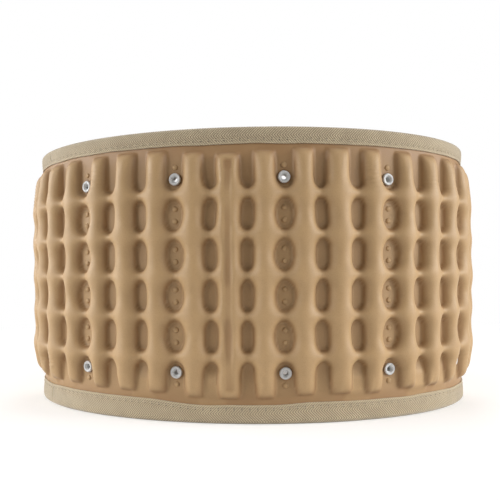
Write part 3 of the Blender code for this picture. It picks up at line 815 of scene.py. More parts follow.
def turned(name, profile, sides):
    """Profile of (radius, height) pairs spun about Z. It is closed, or starts and ends on the axis."""
    count = len(profile)
    on_axis = profile[0][0] == 0
    edges = [(i, (i + 1) % count) for i in range(count - on_axis)]
    mesh = bpy.data.meshes.new(name)
    mesh.from_pydata([(radius, 0.0, height) for radius, height in profile], edges, [])
    obj = put_in_scene(name, mesh)
    only(obj)
    bpy.ops.object.mode_set(mode="EDIT")
    bpy.ops.mesh.select_all(action="SELECT")
    bpy.ops.mesh.spin(steps=sides, angle=2 * math.pi, center=(0.0, 0.0, 0.0), axis=(0.0, 0.0, 1.0))
    bpy.ops.mesh.select_all(action="SELECT")
    bpy.ops.mesh.remove_doubles(threshold=MERGE_DISTANCE)
    bpy.ops.mesh.normals_make_consistent(inside=False)
    bpy.ops.object.mode_set(mode="OBJECT")
    return obj


def notch(obj, ribs, depth):
    """Presses upright notches between ribs into the outermost wall of a turned piece."""
    near_wall = 2e-5
    reach = max(vert.co.xy.length for vert in obj.data.vertices)
    for vert in obj.data.vertices:
        if vert.co.xy.length > reach - near_wall:
            wave = 0.5 - 0.5 * math.cos(ribs * math.atan2(vert.co.y, vert.co.x))
            vert.co.xy *= 1 - depth * wave / reach


def settle(obj, place):
    """Puts a turned piece in place through its mesh, smooth with sharp corners."""
    obj.data.transform(place)
    obj.data.shade_smooth()
    obj.data.set_sharp_from_angle(angle=SHARP_CORNER)


# Materials

CLOUD_SPAN = (0.35, 0.7)
MIDDLE_SPAN = (0.3, 0.7)
ROUGH_SPREAD = 0.08

# For each colour: name, roughness, strength of the grain, scales of clouds and grain, and share of metal
PLAIN_FINISHES = {
    "thread": ("thread_finish", 0.75, 0.3, 150.0, 2500.0, 0.0),
    "eyelet": ("white_plastic_finish", 0.32, 0.04, 220.0, 1800.0, 0.0),
    "hook": ("hook_finish", 0.9, 0.8, 110.0, 1700.0, 0.0),
    "loop": ("loop_finish", 0.9, 0.8, 110.0, 1700.0, 0.0),
    "valve": ("valve_plastic_finish", 0.38, 0.05, 200.0, 1500.0, 0.0),
    "cap": ("cap_plastic_finish", 0.45, 0.10, 200.0, 1500.0, 0.0),
    "spring": ("spring_steel_finish", 0.3, 0.05, 300.0, 2000.0, 1.0),
}


def new_material(name, roughness):
    """Material with a Principled shader, and its node tree."""
    material = bpy.data.materials.new(name)
    material.use_nodes = True
    tree = material.node_tree
    shader = tree.nodes["Principled BSDF"]
    shader.inputs["Roughness"].default_value = roughness
    return material, tree, shader


def add_node(tree, kind, links=(), **values):
    """Node with its settings, input values by name, and links into it as (socket, source)."""
    node = tree.nodes.new(kind)
    for key, value in values.items():
        if hasattr(node, key):
            setattr(node, key, value)
        else:
            node.inputs[key].default_value = value
    for socket, source in links:
        tree.links.new(source, node.inputs[socket])
    return node


def feed(tree, socket, value):
    """Links a socket to another one, or sets its value."""
    if isinstance(value, bpy.types.NodeSocket):
        tree.links.new(value, socket)
    else:
        socket.default_value = value


def calc(tree, operation, first, second=0.0):
    """Output of a Math node on two sockets or numbers."""
    node = add_node(tree, "ShaderNodeMath", operation=operation)
    for socket, value in zip(node.inputs, (first, second)):
        feed(tree, socket, value)
    return node.outputs[0]


def mixed(tree, factor, first, second):
    """Colour mix of two colours or sockets."""
    node = add_node(tree, "ShaderNodeMix", data_type="RGBA")
    # A Mix node has its colour sockets at 6 and 7, after those for numbers and vectors
    for index, value in ((0, factor), (6, first), (7, second)):
        feed(tree, node.inputs[index], value)
    return node.outputs[2]


def mapped(tree, source, span, result=(0.0, 1.0)):
    """Value of a socket mapped from a span to a result, held at both ends."""
    node = add_node(tree, "ShaderNodeMapRange", [("Value", source)])
    for name, value in zip(("From Min", "From Max", "To Min", "To Max"), (*span, *result)):
        node.inputs[name].default_value = value
    return node.outputs[0]


def stained(tree, base, tint, source, span, amount):
    """Colour with a tint laid over it, by up to an amount as a source runs through a span."""
    return mixed(tree, mapped(tree, source, span, (0.0, amount)), base, tint)


def bumped(tree, shader, layers):
    """Chain of bumps of (height socket, strength, distance) into the shader's normal."""
    normal = None
    for height, strength, distance in layers:
        links = [("Height", height)] + ([("Normal", normal)] if normal else [])
        normal = add_node(tree, "ShaderNodeBump", links, Strength=strength, Distance=distance).outputs[0]
    tree.links.new(normal, shader.inputs["Normal"])


def rgba(tint, gain=1.0):
    """Colour for a socket, made lighter or darker by a gain."""
    return (tint[0] * gain, tint[1] * gain, tint[2] * gain, 1.0)


def grey(value):
    """Grey for a colour socket."""
    return rgba((value, value, value))


def ray_mask(tree, *kinds):
    """1 for rays of the given kinds, and 0 for all others."""
    ray = tree.nodes.new("ShaderNodeLightPath")
    mask = ray.outputs[kinds[0]]
    for kind in kinds[1:]:
        mask = calc(tree, "MAXIMUM", mask, ray.outputs[kind])
    return mask


def sine(tree, source, period):
    """Wave from 0 to 1 along a socket's value."""
    return mapped(tree, calc(tree, "SINE", calc(tree, "MULTIPLY", source, 2 * math.pi / period)), (-1.0, 1.0))


@functools.lru_cache
def mottle_group():
    """Node group for the cloudy tone and the fine grain that every surface shares."""
    group = bpy.data.node_groups.new("surface_mottle", "ShaderNodeTree")
    for name, default in (("Cloud Scale", 60.0), ("Grain Scale", 900.0)):
        socket = group.interface.new_socket(name, in_out="INPUT", socket_type="NodeSocketFloat")
        socket.default_value = default
    for name in ("Cloud", "Grain"):
        group.interface.new_socket(name, in_out="OUTPUT", socket_type="NodeSocketFloat")
    inside = group.nodes.new("NodeGroupInput")
    outside = group.nodes.new("NodeGroupOutput")
    place = group.nodes.new("ShaderNodeTexCoord").outputs["Object"]
    for name, detail in (("Cloud", 4.0), ("Grain", 2.0)):
        links = [("Vector", place), ("Scale", inside.outputs[f"{name} Scale"])]
        noise = add_node(group, "ShaderNodeTexNoise", links, Detail=detail)
        group.links.new(noise.outputs["Fac"], outside.inputs[name])
    return group


def mottle(tree, cloud_scale, grain_scale):
    """Cloud and grain sockets of the shared mottle at a material's own scales."""
    node = add_node(tree, "ShaderNodeGroup", node_tree=mottle_group())
    node.inputs["Cloud Scale"].default_value = cloud_scale
    node.inputs["Grain Scale"].default_value = grain_scale
    return node.outputs["Cloud"], node.outputs["Grain"]


@functools.lru_cache
def cloth_material():
    """Rubber-coated cloth: darker in the welds, painted shade round the eyelets, in the creases and on the
    flanks, and painted light on the crests.
    """
    c = colours()
    material, tree, shader = new_material("coated_cloth_finish", roughness=0.5)
    cloud, grain = mottle(tree, cloud_scale=75.0, grain_scale=1500.0)
    tone = add_node(tree, "ShaderNodeAttribute", attribute_name="tone").outputs["Fac"]
    # Near black where the tone falls below the welds': painted shade round the eyelets.
    edge = stained(tree, rgba(c.weld, gain=0.25), rgba(c.weld), tone, span=(-0.30, 0.10), amount=1.0)
    # Weld colour in the creases and on the flanks, cloth colour on the tubes and lighter still on the crest
    # tops: painted shade and painted light that follow the swell.
    base = stained(tree, edge, rgba(c.cloth), tone, span=(0.10, 1.0), amount=1.0)
    lit_crest_tops = stained(tree, base, rgba(c.cloth, gain=1.25), tone, span=(1.0, 1.05), amount=0.25)
    cloudy = stained(tree, lit_crest_tops, rgba(c.cloth, gain=0.80), cloud, CLOUD_SPAN, amount=0.35)
    flecked = stained(tree, cloudy, rgba(c.weld), grain, span=(0.45, 0.75), amount=0.22)
    tree.links.new(flecked, shader.inputs["Base Color"])
    tree.links.new(mapped(tree, cloud, MIDDLE_SPAN, result=(0.46, 0.60)), shader.inputs["Roughness"])
    shader.inputs["Sheen Weight"].default_value = 0.06
    shader.inputs["Specular IOR Level"].default_value = 0.35
    bumped(tree, shader, [(cloud, 0.12, 0.002), (grain, 0.10, 0.0004)])
    return material


def needle_holes(tree, along, edge):
    """Distance to the nearest needle hole of a tape, from the distances along it and from its edge."""
    pitch = sizes().stitch_pitch
    side = calc(tree, "SUBTRACT", calc(tree, "MODULO", along, pitch), pitch / 2)
    inset = calc(tree, "SUBTRACT", edge, sizes().stitch_inset)
    joined = add_node(tree, "ShaderNodeCombineXYZ", [(0, side), (1, inset)]).outputs[0]
    return add_node(tree, "ShaderNodeVectorMath", [(0, joined)], operation="LENGTH").outputs["Value"]


@functools.lru_cache
def tape_material():
    """Herringbone tape: slanted ribs that turn back in bands across the tape."""
    c = colours()
    band_width, rib_pitch, yarn_pitch = 0.0052, 0.00168, 0.00075
    material, tree, shader = new_material("herringbone_tape_finish", roughness=0.85)
    uv = tree.nodes.new("ShaderNodeUVMap").outputs[0]
    along, edge = add_node(tree, "ShaderNodeSeparateXYZ", [(0, uv)]).outputs[:2]
    slant = calc(tree, "ADD", along, calc(tree, "PINGPONG", edge, band_width))
    rib = sine(tree, slant, rib_pitch)
    yarn = sine(tree, edge, yarn_pitch)
    cloud, grain = mottle(tree, cloud_scale=90.0, grain_scale=1300.0)
    raised = mapped(tree, rib, span=(0.08, 0.80), result=(0.12, 1.0))
    woven = mixed(tree, raised, rgba(c.tape_gap), rgba(c.tape))
    crossed = stained(tree, woven, rgba(c.tape_gap), yarn, span=(0.5, 0.0), amount=0.25)
    worn = stained(tree, crossed, rgba(c.tape_gap, gain=1.35), cloud, CLOUD_SPAN, amount=0.30)
    selvage = stained(tree, worn, rgba(c.tape, gain=0.95), edge, span=(0.0011, 0.0007), amount=0.5)
    holes = needle_holes(tree, along, edge)
    # Painted shade in the needle holes along the row of stitches.
    shaded_holes = stained(tree, selvage, rgba(c.tape_gap, gain=0.45), holes, span=(0.00095, 0.00035), amount=0.85)
    tree.links.new(shaded_holes, shader.inputs["Base Color"])
    tree.links.new(mapped(tree, grain, MIDDLE_SPAN, result=(0.75, 0.95)), shader.inputs["Roughness"])
    shader.inputs["Sheen Weight"].default_value = 0.40
    bumped(tree, shader, [(rib, 0.45, 0.0004), (yarn, 0.2, 0.0002), (grain, 0.15, 0.0003)])
    return material


@functools.lru_cache
def plain_material(kind):
    """Moulded plastic, thread, fastener or metal: one colour with soft tone changes and a fine grain."""
    name, roughness, grain_strength, cloud_scale, grain_scale, metallic = PLAIN_FINISHES[kind]
    tint = getattr(colours(), kind)
    material, tree, shader = new_material(name, roughness)
    cloud, grain = mottle(tree, cloud_scale, grain_scale)
    cloudy = stained(tree, rgba(tint), rgba(tint, gain=0.78), cloud, CLOUD_SPAN, amount=0.35)
    fleck_amount = 0.5 * grain_strength
    flecked = stained(tree, cloudy, rgba(tint, gain=0.6), grain, span=(0.5, 0.8), amount=fleck_amount)
    tree.links.new(flecked, shader.inputs["Base Color"])
    rough = (roughness - ROUGH_SPREAD, roughness + ROUGH_SPREAD)
    tree.links.new(mapped(tree, grain, MIDDLE_SPAN, rough), shader.inputs["Roughness"])
    shader.inputs["Metallic"].default_value = metallic
    bumped(tree, shader, [(grain, grain_strength, 0.0004)])
    return material


def dress(obj, material):
    """Gives a piece its material."""
    obj.data.materials.clear()
    obj.data.materials.append(material)


def bend(obj, line):
    """Bakes a piece's place into its mesh; the ends of the soft hinge at its weld line are found but not
    used.
    """
    half = math.copysign(HINGE_HALF, line)
    start, end = on_ring(line_arc(line) + np.array([-half, half]), 0.0, MIDDLE)
    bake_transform(obj)


# Operators

class BELT_OT_skins(bpy.types.Operator):
    """Outer and inner skins of the air panel, with their tubes and weld spots"""

    bl_idname = "belt.skins"
    bl_label = "Air Skins"

    def execute(self, context):
        for face, side in (("outer", 1), ("inner", -1)):
            for name, first, last, child, hinge in (
                (f"{face}_skin_front_right", SEAM_LINE, PANEL_LINE, "right_wing", LUMBAR_LINE),
                (f"{face}_skin_left", -PANEL_LINE, SEAM_LINE, "left_wing", -LUMBAR_LINE),
            ):
                skin = make_skin(name, first, last, side)
                dress(skin, cloth_material())
                bend(skin, hinge)
                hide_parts(f"{child}_{face}_skin")
                if child == "right_wing":
                    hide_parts(f"lumbar_{face}_skin")
        return {"FINISHED"}


class BELT_OT_domes(bpy.types.Operator):
    """Small moulded domes in the wide weld spots"""

    bl_idname = "belt.domes"
    bl_label = "Weld Domes"

    height = 0.0009
    from_spot_centre = 0.0040
    from_eyelet = 0.0078
    sides, rings = 14, 8
    tone = 0.90

    def execute(self, context):
        s = sizes()
        spots = [MIDDLE + (row - MIDDLE_ROW) * s.spot_pitch for row in range(SPOT_ROWS)]
        heights = [spot + k * self.from_spot_centre for spot in spots for k in (-1, 1)]
        heights += [eyelet_rows()[0] - self.from_eyelet, eyelet_rows()[1] + self.from_eyelet]
        size = Matrix.Diagonal((s.dome_radius, s.dome_radius, self.height, 1))
        for body, first, last in (
            ("lumbar", -LUMBAR_LINE, LUMBAR_LINE),
            ("left_wing", -PANEL_LINE, -LUMBAR_LINE),
            ("right_wing", LUMBAR_LINE, PANEL_LINE),
        ):
            places = []
            for line in EYELET_LINES:
                if first < line < last:
                    for height in heights:
                        floor = s.weld_face + spot_rise(abs(height - MIDDLE))
                        places.append(ring_place(line_arc(line), floor, height) @ size)
            domes = scatter(f"{body}_domes", places, self.sides, self.rings)
            set_tone(domes.data, np.full(len(domes.data.vertices), self.tone))
            dress(domes, cloth_material())
            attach(domes, body)
        return {"FINISHED"}


class BELT_OT_tapes(bpy.types.Operator):
    """Herringbone tape folded over the edges, with its stitching"""

    bl_idname = "belt.tapes"
    bl_label = "Edge Tapes"

    def execute(self, context):
        tab_end = sizes().half_girth + sizes().overlap - sizes().tape_width - TAPE_END_GAP
        seam, split = line_arc(SEAM_LINE), line_arc(TAPE_SEAM)
        runs = (
            ("front_right", seam, split, 0, "lumbar", "right_wing", LUMBAR_LINE),
            ("left", -split, seam, 0, "lumbar", "left_wing", -LUMBAR_LINE),
            ("right_tab", split, tab_end, -1, "right_wing", "right_tab", PANEL_LINE),
            ("left_tab", -tab_end, -split, 1, "left_wing", "left_tab", -PANEL_LINE),
        )
        stands_for = {"front_right": ("lumbar", "right_wing"), "left": ("left_wing",)}
        for edge, top in (("top", True), ("bottom", False)):
            for run, start, end, layer, body, child, line in runs:
                tape = make_tape(f"{run}_{edge}_binding", start, end, layer, top)
                dress(tape, tape_material())
                stitches = make_tape_stitches(f"{run}_{edge}_stitches", start, end, layer, top)
                for piece in (tape, stitches):
                    bend(piece, line)
                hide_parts(*[f"{owner}_{edge}_tape" for owner in stands_for.get(run, (run,))])
        return {"FINISHED"}


class BELT_OT_eyelets(bpy.types.Operator):
    """White eyelets and the washers behind them"""

    bl_idname = "belt.eyelets"
    bl_label = "Eyelets"

    sides = 36
    seat_gap, back_gap = 0.0002, 0.0014

    def execute(self, context):
        models = (
            ("eyelet", turned("eyelet_model", self.eyelet_profile(), self.sides), "white_plastic"),
            ("washer", turned("washer_model", self.washer_profile(), self.sides), "washer_plastic"),
        )
        for line in EYELET_LINES:
            side = "right" if line > 0 else "left"
            number = round((abs(line) - FIRST_WIDE) / WIDE_EVERY) + 1
            body = "lumbar" if abs(line) < LUMBAR_LINE else f"{side}_wing"
            for row, height in zip(("bottom", "top"), eyelet_rows()):
                for kind, model, slot in models:
                    node = f"{kind}_{side}_{number}_{row}"
                    piece = put_in_scene(f"{node}_turned", model.data.copy())
                    settle(piece, ring_place(line_arc(line), 0.0, height))
                    dress(piece, plain_material("eyelet"))
                    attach(piece, body)
                    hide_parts(node)
        for _, model, _ in models:
            bpy.data.meshes.remove(model.data)
        return {"FINISHED"}

    def eyelet_profile(self):
        """Rolled flange in front, a barrel through the skins and a lip curled over behind."""
        bore, rim = sizes().eyelet_bore, sizes().eyelet_radius
        seat, back = sizes().weld_face + self.seat_gap, -(sizes().weld_face + self.back_gap)
        wall, roll, curl, curl_drop = 0.0007, 0.0007, 0.0005, 0.0003
        step, step_top, dish, crown = 0.0002, 0.0006, 0.0008, 0.0013
        undercut, chamfer = 0.0001, 0.0003
        end = back - curl_drop - curl
        mouth = [(bore, seat + step), (bore + step, seat + step_top), (bore + wall, seat + dish)]
        flange = [(bore + wall + step, seat + crown)]
        flange += rounded((rim - roll, seat + dish), roll, start=100, end=-20, count=8)
        barrel = [(rim - undercut, seat), (bore + wall, seat), (bore + wall, back)]
        lip = rounded((bore + wall + curl, back - curl_drop), curl, start=60, end=-90, count=7)
        return mouth + flange + barrel + lip + [(bore + chamfer, end), (bore, end + chamfer)]

    def washer_profile(self):
        """Flat ring with a bevelled rim."""
        clearance, past_flange, from_lip, thickness = 0.0010, 0.0002, 0.0003, 0.0008
        bevel, bevel_height = 0.0004, 0.0003
        hole, rim = sizes().eyelet_bore + clearance, sizes().eyelet_radius + past_flange
        rear = from_lip - (sizes().weld_face + self.back_gap)
        front, shoulder = rear + thickness, rear + bevel_height
        return [(hole, front), (rim, front), (rim, shoulder), (rim - bevel, rear), (hole, rear)]


class BELT_OT_tabs(bpy.types.Operator):
    """Closing tabs with their touch fastener and end tapes"""

    bl_idname = "belt.tabs"
    bl_label = "Closing Tabs"

    tip_inset = 0.0012
    root_lap, root_sewn, root_seams = 0.0060, 0.0065, (0.0018, 0.0042)
    lap_lift, lap_flat, lap_end = 0.0012, 0.006, 0.014
    cloth_face, cloth_thickness, cloth_tone = 0.0010, 0.0017, 0.85
    cloth_wave, cloth_wave_size = 0.00018, 0.016
    cloth_step, cloth_rows = 0.0025, 76
    pad_margin, pad_thickness, pad_seam = 0.015, 0.0012, 0.003
    pad_step, pad_rows, pad_stitch_share = 0.0018, 101, 0.7
    hook_face, loop_face = -0.0027, 0.0028
    end_rows, end_stitch_start, end_stitch_stop = 128, 0.004, 0.003

    def execute(self, context):
        for side, sign, layer in (("left", -1, 1), ("right", 1, -1)):
            self.panel(side, sign, layer)
            self.pad(side, sign, layer)
            self.end_tape(side, sign, layer)
        return {"FINISHED"}

    def panel(self, side, sign, layer):
        """Cloth of a tab, lapped over the end of its wing and sewn to it."""
        s = sizes()
        root = line_arc(PANEL_LINE) - self.root_lap
        tip = s.half_girth + s.overlap - self.tip_inset
        rows = np.linspace(CLOTH_EDGE, BELT_HEIGHT - CLOTH_EDGE, self.cloth_rows)

        def place(arc, row):
            """Points of the cloth's face at arc lengths and heights."""
            along = np.abs(arc)
            lap = self.lap_lift * smooth(along, root + self.lap_end, root + self.lap_flat)
            wave = self.cloth_wave * soft_noise(arc, row, self.cloth_wave_size, seed=61 + layer)
            lift = np.where(along < root + self.root_sewn, 0.0, wave)
            return on_ring(arc, tab_out(arc, layer) + self.cloth_face + lap + lift, row)

        arcs = sign * stops(root, tip, self.cloth_step)
        panel = make_sheet(f"{side}_tab_cloth", arcs, rows, place, self.cloth_thickness, face_uv)
        set_tone(panel.data, np.full(len(panel.data.vertices), self.cloth_tone))
        dress(panel, cloth_material())
        bend(panel, sign * PANEL_LINE)
        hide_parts(f"{side}_tab_panel")
        seam_out, seam_end = 0.0021, 0.013
        seam = []
        for height in np.arange(seam_end, BELT_HEIGHT - seam_end, s.stitch_pitch):
            for inset in self.root_seams:
                seam.append(stitch_matrix(sign * (root + inset), seam_out, height, upright=True))
        stitches = sew(f"{side}_tab_root_stitches", seam)
        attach(stitches, f"{side}_wing")

    def pad(self, side, sign, layer):
        """Hook or loop pad on the face of a tab that meets the other tab, sewn round its edge."""
        s = sizes()
        tip = s.half_girth + s.overlap - s.tape_width - self.tip_inset
        start = s.half_girth - s.overlap if layer > 0 else line_arc(PANEL_LINE) + TAB_RISE
        low, high = self.pad_margin, BELT_HEIGHT - self.pad_margin
        name, face = ("hook", self.hook_face) if layer > 0 else ("loop", self.loop_face)
        edge_sink, edge_width, seam_sink, seam_width = 0.0004, 0.0018, 0.0003, 0.0008
        hook_height, hook_turn, loop_height, loop_size = 0.00010, 3200, 0.00012, 0.0017

        def place(arc, row):
            """Points of the pad's face at arc lengths and heights."""
            ends = np.minimum(np.abs(arc) - start, tip - np.abs(arc))
            edge = np.minimum(ends, np.minimum(row - low, high - row))
            sink = edge_sink * (1 - smooth(edge, 0.0, edge_width))
            sink = sink + seam_sink * np.exp(-((edge - self.pad_seam) / seam_width) ** 2)
            if layer > 0:
                pile = hook_height * np.sin(arc * hook_turn) * np.sin(row * hook_turn)
            else:
                pile = loop_height * soft_noise(arc, row, loop_size, seed=71)
            return on_ring(arc, tab_out(arc, layer) + face - np.sign(face) * (sink - pile), row)

        arcs = sign * stops(start, tip, self.pad_step)
        rows = np.linspace(low, high, self.pad_rows)
        pad = make_sheet(f"{side}_tab_{name}_face", arcs, rows, place, self.pad_thickness, face_uv)
        dress(pad, plain_material(name))
        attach(pad, f"{side}_tab")
        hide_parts(f"{side}_tab_{name}_pad")
        stitch_sink, far_outside, far_inside = 0.0003, 0.0010, -0.0008
        lifts = (face - math.copysign(stitch_sink, face), far_outside if layer > 0 else far_inside)
        border = (start + self.pad_seam, tip - self.pad_seam, low + self.pad_seam, high - self.pad_seam)
        stitches = sew(f"{side}_tab_{name}_stitches", self.pad_border(sign, layer, border, lifts))
        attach(stitches, f"{side}_tab")

    def pad_border(self, sign, layer, border, lifts):
        """Matrices of the stitches round a pad, on both faces of the tab."""
        left, right, bottom, top = border
        pitch = self.pad_stitch_share * sizes().stitch_pitch
        places = [(arc, height, False) for arc in np.arange(left, right, pitch) for height in (bottom, top)]
        places += [(arc, height, True) for height in np.arange(bottom, top, pitch) for arc in (left, right)]
        return [
            stitch_matrix(sign * arc, tab_out(arc, layer) + lift, height, upright)
            for lift in lifts for arc, height, upright in places
        ]

    def end_tape(self, side, sign, layer):
        """Tape folded over the end of a tab, with its stitches."""
        s = sizes()
        tip = s.half_girth + s.overlap
        across = flat_tape_width(s.tape_width)
        stitch_sink = 0.00005
        heights = np.linspace(TAPE_END_GAP, BELT_HEIGHT - TAPE_END_GAP, self.end_rows)

        def place(row, height):
            """Points of the tape's face at distances across it and heights."""
            out, depth = tape_path(row, s.tape_width)
            arc = sign * (tip - depth)
            return on_ring(arc, tab_out(arc, layer) + out, height)

        def uv(row, height):
            """Distances along the tape and from its edge."""
            return np.stack([height, from_selvage(row, across)], -1)

        rows = np.linspace(0.0, across, TAPE_ROWS)
        tape = make_sheet(f"{side}_tab_end_tape_woven", rows, heights, place, s.tape_thickness, uv)
        dress(tape, tape_material())
        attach(tape, f"{side}_tab")
        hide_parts(f"{side}_tab_end_tape")
        arc = sign * (tip - s.tape_width + s.stitch_inset)
        face = s.tape_face - stitch_sink
        seam = []
        for height in np.arange(self.end_stitch_start, BELT_HEIGHT - self.end_stitch_stop, s.stitch_pitch):
            for k in (-1, 1):
                seam.append(stitch_matrix(arc, tab_out(arc, layer) + k * face, height, upright=True))
        stitches = sew(f"{side}_tab_end_stitches", seam)
        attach(stitches, f"{side}_tab")


class BELT_OT_valve(bpy.types.Operator):
    """Air valve: flange, nozzle and ribbed dust cap, with finishes for the pieces inside"""

    bl_idname = "belt.valve"
    bl_label = "Air Valve"

    sides = 112
    ribs, rib_depth = 28, 0.0004
    wire_radius, coil_radius, coil_turns = 0.00024, 0.0015, 5
    turn_steps, wire_sides = 28, 10

    def execute(self, context):
        place = ring_place(line_arc(VALVE_TUBE), valve_seat_out(), MIDDLE)
        for name, profile, finish, slot, rider in (
            ("valve_flange", self.flange_profile(), "valve", "coated_cloth", "right_wing"),
            ("valve_body", self.body_profile(), "valve", "valve_plastic", "right_wing"),
            ("valve_cap", self.cap_profile(), "cap", "cap_plastic", "valve_cap"),
        ):
            piece = turned(f"{name}_turned", profile, self.sides)
            if name == "valve_cap":
                notch(piece, self.ribs, self.rib_depth)
            settle(piece, place)
            dress(piece, plain_material(finish))
            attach(piece, rider)
            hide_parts(name)
        self.spring(place)
        for node, finish in (("valve_pin", "valve"), ("valve_seal", "cap")):
            frame["nodes"][node].data.materials.clear()
            frame["nodes"][node].data.materials.append(plain_material(finish))
        return {"FINISHED"}

    def flange_profile(self):
        """Thin disc with a rounded rim, welded on the skin."""
        bore, rim, base, top, edge = 0.0045, 0.0080, 0.0001, 0.0015, 0.0006
        round_rim = rounded((rim - edge, top - edge), edge, start=90, end=-30, count=6)
        return [(bore, top), *round_rim, (rim, base), (bore, base)]

    def body_profile(self):
        """Nozzle with a lip, a collar on the flange and a shank inside, bored for the pin and its spring."""
        bore, guide, port = 0.0024, 0.0011, 0.0030
        lip, stem, collar, shank = 0.0034, 0.0036, 0.0060, 0.0042
        tip, collar_top, collar_base, shank_end = 0.0121, 0.0038, 0.0018, -0.0050
        web_base, web_top, edge = 0.0015, 0.0030, 0.0006
        mouth_wall, lip_slope, lip_length, neck_slope, foot = 0.0005, 0.0007, 0.0010, 0.0003, 0.0004
        lip_top = tip - lip_slope
        lip_base = lip_top - lip_length
        nozzle = [(bore, tip), (bore + mouth_wall, tip), (lip, lip_top), (lip, lip_base)]
        nozzle += [(stem, lip_base - neck_slope), (stem, collar_top + foot)]
        nozzle += rounded((collar - edge, collar_top - edge), edge, start=90, end=0, count=5)
        inside = [(collar, collar_base), (shank, collar_base), (shank, shank_end), (port, shank_end)]
        return nozzle + inside + [(port, web_base), (guide, web_base), (guide, web_top), (bore, web_top)]

    def cap_profile(self):
        """Cup with a rounded top edge, and a ring pressed into its top."""
        top, roof, skirt, rim, hollow = 0.0138, 0.0126, 0.0041, 0.0050, 0.0039
        ring_inner, ring_outer, ring_depth, slope = 0.0020, 0.0032, 0.0003, 0.0002
        top_edge, low_edge, grip_end = 0.0007, 0.0003, 0.0052
        cup = [(0.0, top), (ring_inner, top), (ring_inner + slope, top - ring_depth)]
        cup += [(ring_outer - slope, top - ring_depth), (ring_outer, top)]
        cup += rounded((rim - top_edge, top - top_edge), top_edge, start=90, end=0, count=6)
        cup += [(rim, grip_end)]
        cup += rounded((rim - low_edge, skirt + low_edge), low_edge, start=0, end=-90, count=4)
        return cup + [(hollow, skirt), (hollow, roof), (0.0, roof)]

    def spring(self, place):
        """Coil of wire between the ends of the CAD spring."""
        node = frame["nodes"]["valve_spring"]
        turn = np.array(place.inverted() @ node.matrix_world)
        cad = np.array([vert.co for vert in node.data.vertices]) @ turn[:3, :3].T + turn[:3, 3]
        low, high = cad[:, 2].min(), cad[:, 2].max()
        wire, sides = self.wire_radius, self.wire_sides
        steps = self.coil_turns * self.turn_steps + 1
        angle = np.linspace(0.0, 2 * math.pi * self.coil_turns, steps)[:, None]
        around = np.linspace(0.0, 2 * math.pi, sides, endpoint=False)[None, :]
        radius = self.coil_radius + wire * np.cos(around)
        rise = np.linspace(low + wire, high - wire, steps)[:, None] + wire * np.sin(around)
        local = np.stack([radius * np.cos(angle), radius * np.sin(angle), rise], -1).reshape(-1, 3)
        faces = []
        last = (steps - 1) * sides
        for start in range(0, last, sides):
            for i in range(sides):
                k = (i + 1) % sides
                faces.append((start + i, start + k, start + sides + k, start + sides + i))
        faces += [tuple(range(sides)), tuple(range(last, last + sides))]
        put = np.array(place)
        coil_piece = new_piece("valve_spring_wire", local @ put[:3, :3].T + put[:3, 3], faces)
        dress(coil_piece, plain_material("spring"))
        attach(coil_piece, "right_wing")
        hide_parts("valve_spring")
        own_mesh(coil_piece)


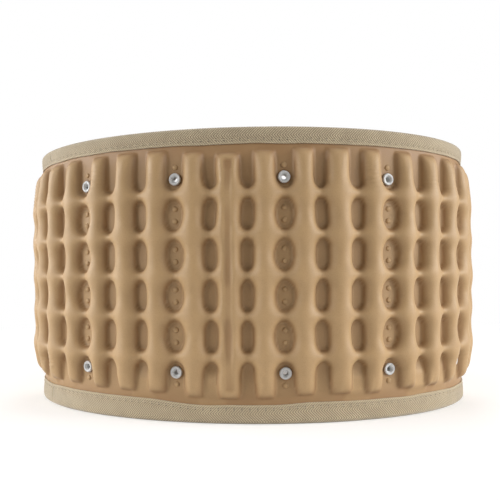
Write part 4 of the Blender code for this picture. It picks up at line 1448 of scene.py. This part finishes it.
class BELT_OT_stage(bpy.types.Operator):
    """Pale floor, soft lights and the camera of the studio picture"""

    bl_idname = "belt.stage"
    bl_label = "Studio"

    floor_size = 8.0
    floor_grey, floor_glow = 0.82, 0.24
    white_start, white_full = 0.30, 0.75
    world_light = 0.21
    aim_height = 0.10
    softboxes = (
        ("left_rim_softbox", (-1.15, -0.02, 0.40), 0.7, 8.0),
        ("right_rim_softbox", (1.18, -0.12, 0.42), 0.7, 11.0),
        ("left_softbox", (-1.00, -0.62, 0.42), 0.7, 8.8),
        ("right_softbox", (1.05, -0.62, 0.45), 0.7, 6.0),
        ("top_softbox", (0.05, -0.10, 1.40), 0.9, 2.0),
        ("back_fill", (0.0, 1.40, 0.70), 1.0, 9.0),
    )

    def execute(self, context):
        self.floor()
        self.camera(context)
        self.lights()
        self.world(context)
        context.scene.view_settings.view_transform = "Standard"
        return {"FINISHED"}

    def floor(self):
        """Pale floor that keeps the belt's shadow and turns white away from it."""
        bpy.ops.object.select_all(action="DESELECT")
        bpy.ops.mesh.primitive_plane_add(size=self.floor_size, location=(0.0, 0.0, 0.0))
        plane = bpy.context.object
        plane.name = "studio_floor"
        material, tree, shader = new_material("studio_floor_finish", roughness=0.9)
        shader.inputs["Base Color"].default_value = grey(self.floor_grey)
        seen = ray_mask(tree, "Is Camera Ray", "Is Glossy Ray", "Is Transmission Ray")
        glow = add_node(tree, "ShaderNodeEmission", [("Strength", seen)], Color=grey(self.floor_glow))
        lit = add_node(tree, "ShaderNodeAddShader", [(0, shader.outputs[0]), (1, glow.outputs[0])])
        white = add_node(tree, "ShaderNodeEmission", [("Strength", seen)], Color=grey(1.0))
        place = tree.nodes.new("ShaderNodeTexCoord").outputs["Object"]
        reach = add_node(tree, "ShaderNodeVectorMath", [(0, place)], operation="LENGTH").outputs["Value"]
        away = mapped(tree, reach, (self.white_start, self.white_full))
        whole = add_node(tree, "ShaderNodeMixShader", [(0, away), (1, lit.outputs[0]), (2, white.outputs[0])])
        tree.links.new(whole.outputs[0], tree.nodes["Material Output"].inputs["Surface"])
        plane.data.materials.append(material)

    def camera(self, context):
        """Camera in front of the lumbar side, shifted so that the belt sits as in the picture."""
        s = context.scene.belt_stage
        _, _, _, shift = ring()
        camera = bpy.data.cameras.new("studio_camera")
        camera.sensor_width = 36.0
        camera.lens = s.focal_pixels / s.picture * camera.sensor_width
        camera.shift_x = (s.picture / 2 - s.centre_x) / s.picture
        camera.shift_y = (s.centre_y - s.picture / 2) / s.picture
        camera.clip_start = 0.01
        obj = put_in_scene("studio_camera", camera)
        back = Vector((math.sin(s.azimuth), -math.cos(s.azimuth), 0.0))
        turn = back.to_track_quat("Z", "Y").to_matrix() @ Matrix.Rotation(-s.roll, 3, "Z")
        obj.location = Vector((0.0, shift, MIDDLE)) + s.distance * back
        obj.rotation_euler = turn.to_euler()
        context.scene.camera = obj

    def lights(self):
        """Soft boxes round the belt, aimed at its middle."""
        aim = Vector((0.0, 0.0, self.aim_height))
        for name, place, size, power in self.softboxes:
            lamp = bpy.data.lights.new(name, "AREA")
            lamp.energy = power
            lamp.size = size
            obj = put_in_scene(name, lamp)
            obj.location = place
            obj.rotation_euler = (Vector(place) - aim).to_track_quat("Z", "Y").to_euler()

    def world(self, context):
        """Dim even light from all round, which the camera sees as white."""
        world = bpy.data.worlds.new("studio_world")
        context.scene.world = world
        world.use_nodes = True
        tree = world.node_tree
        dim = tree.nodes["Background"]
        dim.inputs["Color"].default_value = grey(1.0)
        dim.inputs["Strength"].default_value = self.world_light
        white = add_node(tree, "ShaderNodeBackground", Color=grey(1.0), Strength=1.0)
        seen = ray_mask(tree, "Is Camera Ray", "Is Transmission Ray")
        whole = add_node(tree, "ShaderNodeMixShader", [(0, seen), (1, dim.outputs[0]), (2, white.outputs[0])])
        tree.links.new(whole.outputs[0], tree.nodes["World Output"].inputs["Surface"])


PIECES = (
    BELT_OT_stage,
    BELT_OT_skins,
    BELT_OT_domes,
    BELT_OT_tapes,
    BELT_OT_eyelets,
    BELT_OT_tabs,
    BELT_OT_valve,
)


class BELT_PT_panel(bpy.types.Panel):
    """Sidebar panel that lists the belt's operators and sizes"""

    bl_idname = "BELT_PT_panel"
    bl_label = "Air Lumbar Belt"
    bl_space_type = "VIEW_3D"
    bl_region_type = "UI"
    bl_category = "Belt"

    def draw(self, context):
        for piece in PIECES:
            self.layout.operator(piece.bl_idname)
        for group in (context.scene.belt_sizes, context.scene.belt_colours, context.scene.belt_stage):
            box = self.layout.box()
            for name in group.__annotations__:
                box.prop(group, name)


GROUPS = (("belt_sizes", BeltSizes), ("belt_colours", BeltColours), ("belt_stage", BeltStage))


def register():
    """Registers the property groups, the operators and the panel."""
    for name, group in GROUPS:
        bpy.utils.register_class(group)
        setattr(bpy.types.Scene, name, PointerProperty(type=group))
    for cls in (*PIECES, BELT_PT_panel):
        bpy.utils.register_class(cls)


def unregister():
    """Takes back what register added, in the opposite order."""
    for cls in (BELT_PT_panel, *reversed(PIECES)):
        bpy.utils.unregister_class(cls)
    for name, group in reversed(GROUPS):
        delattr(bpy.types.Scene, name)
        bpy.utils.unregister_class(group)


def main():
    register()
    for piece in PIECES:
        group, name = piece.bl_idname.split(".")
        getattr(getattr(bpy.ops, group), name)()


if __name__ == "__main__":
    main()
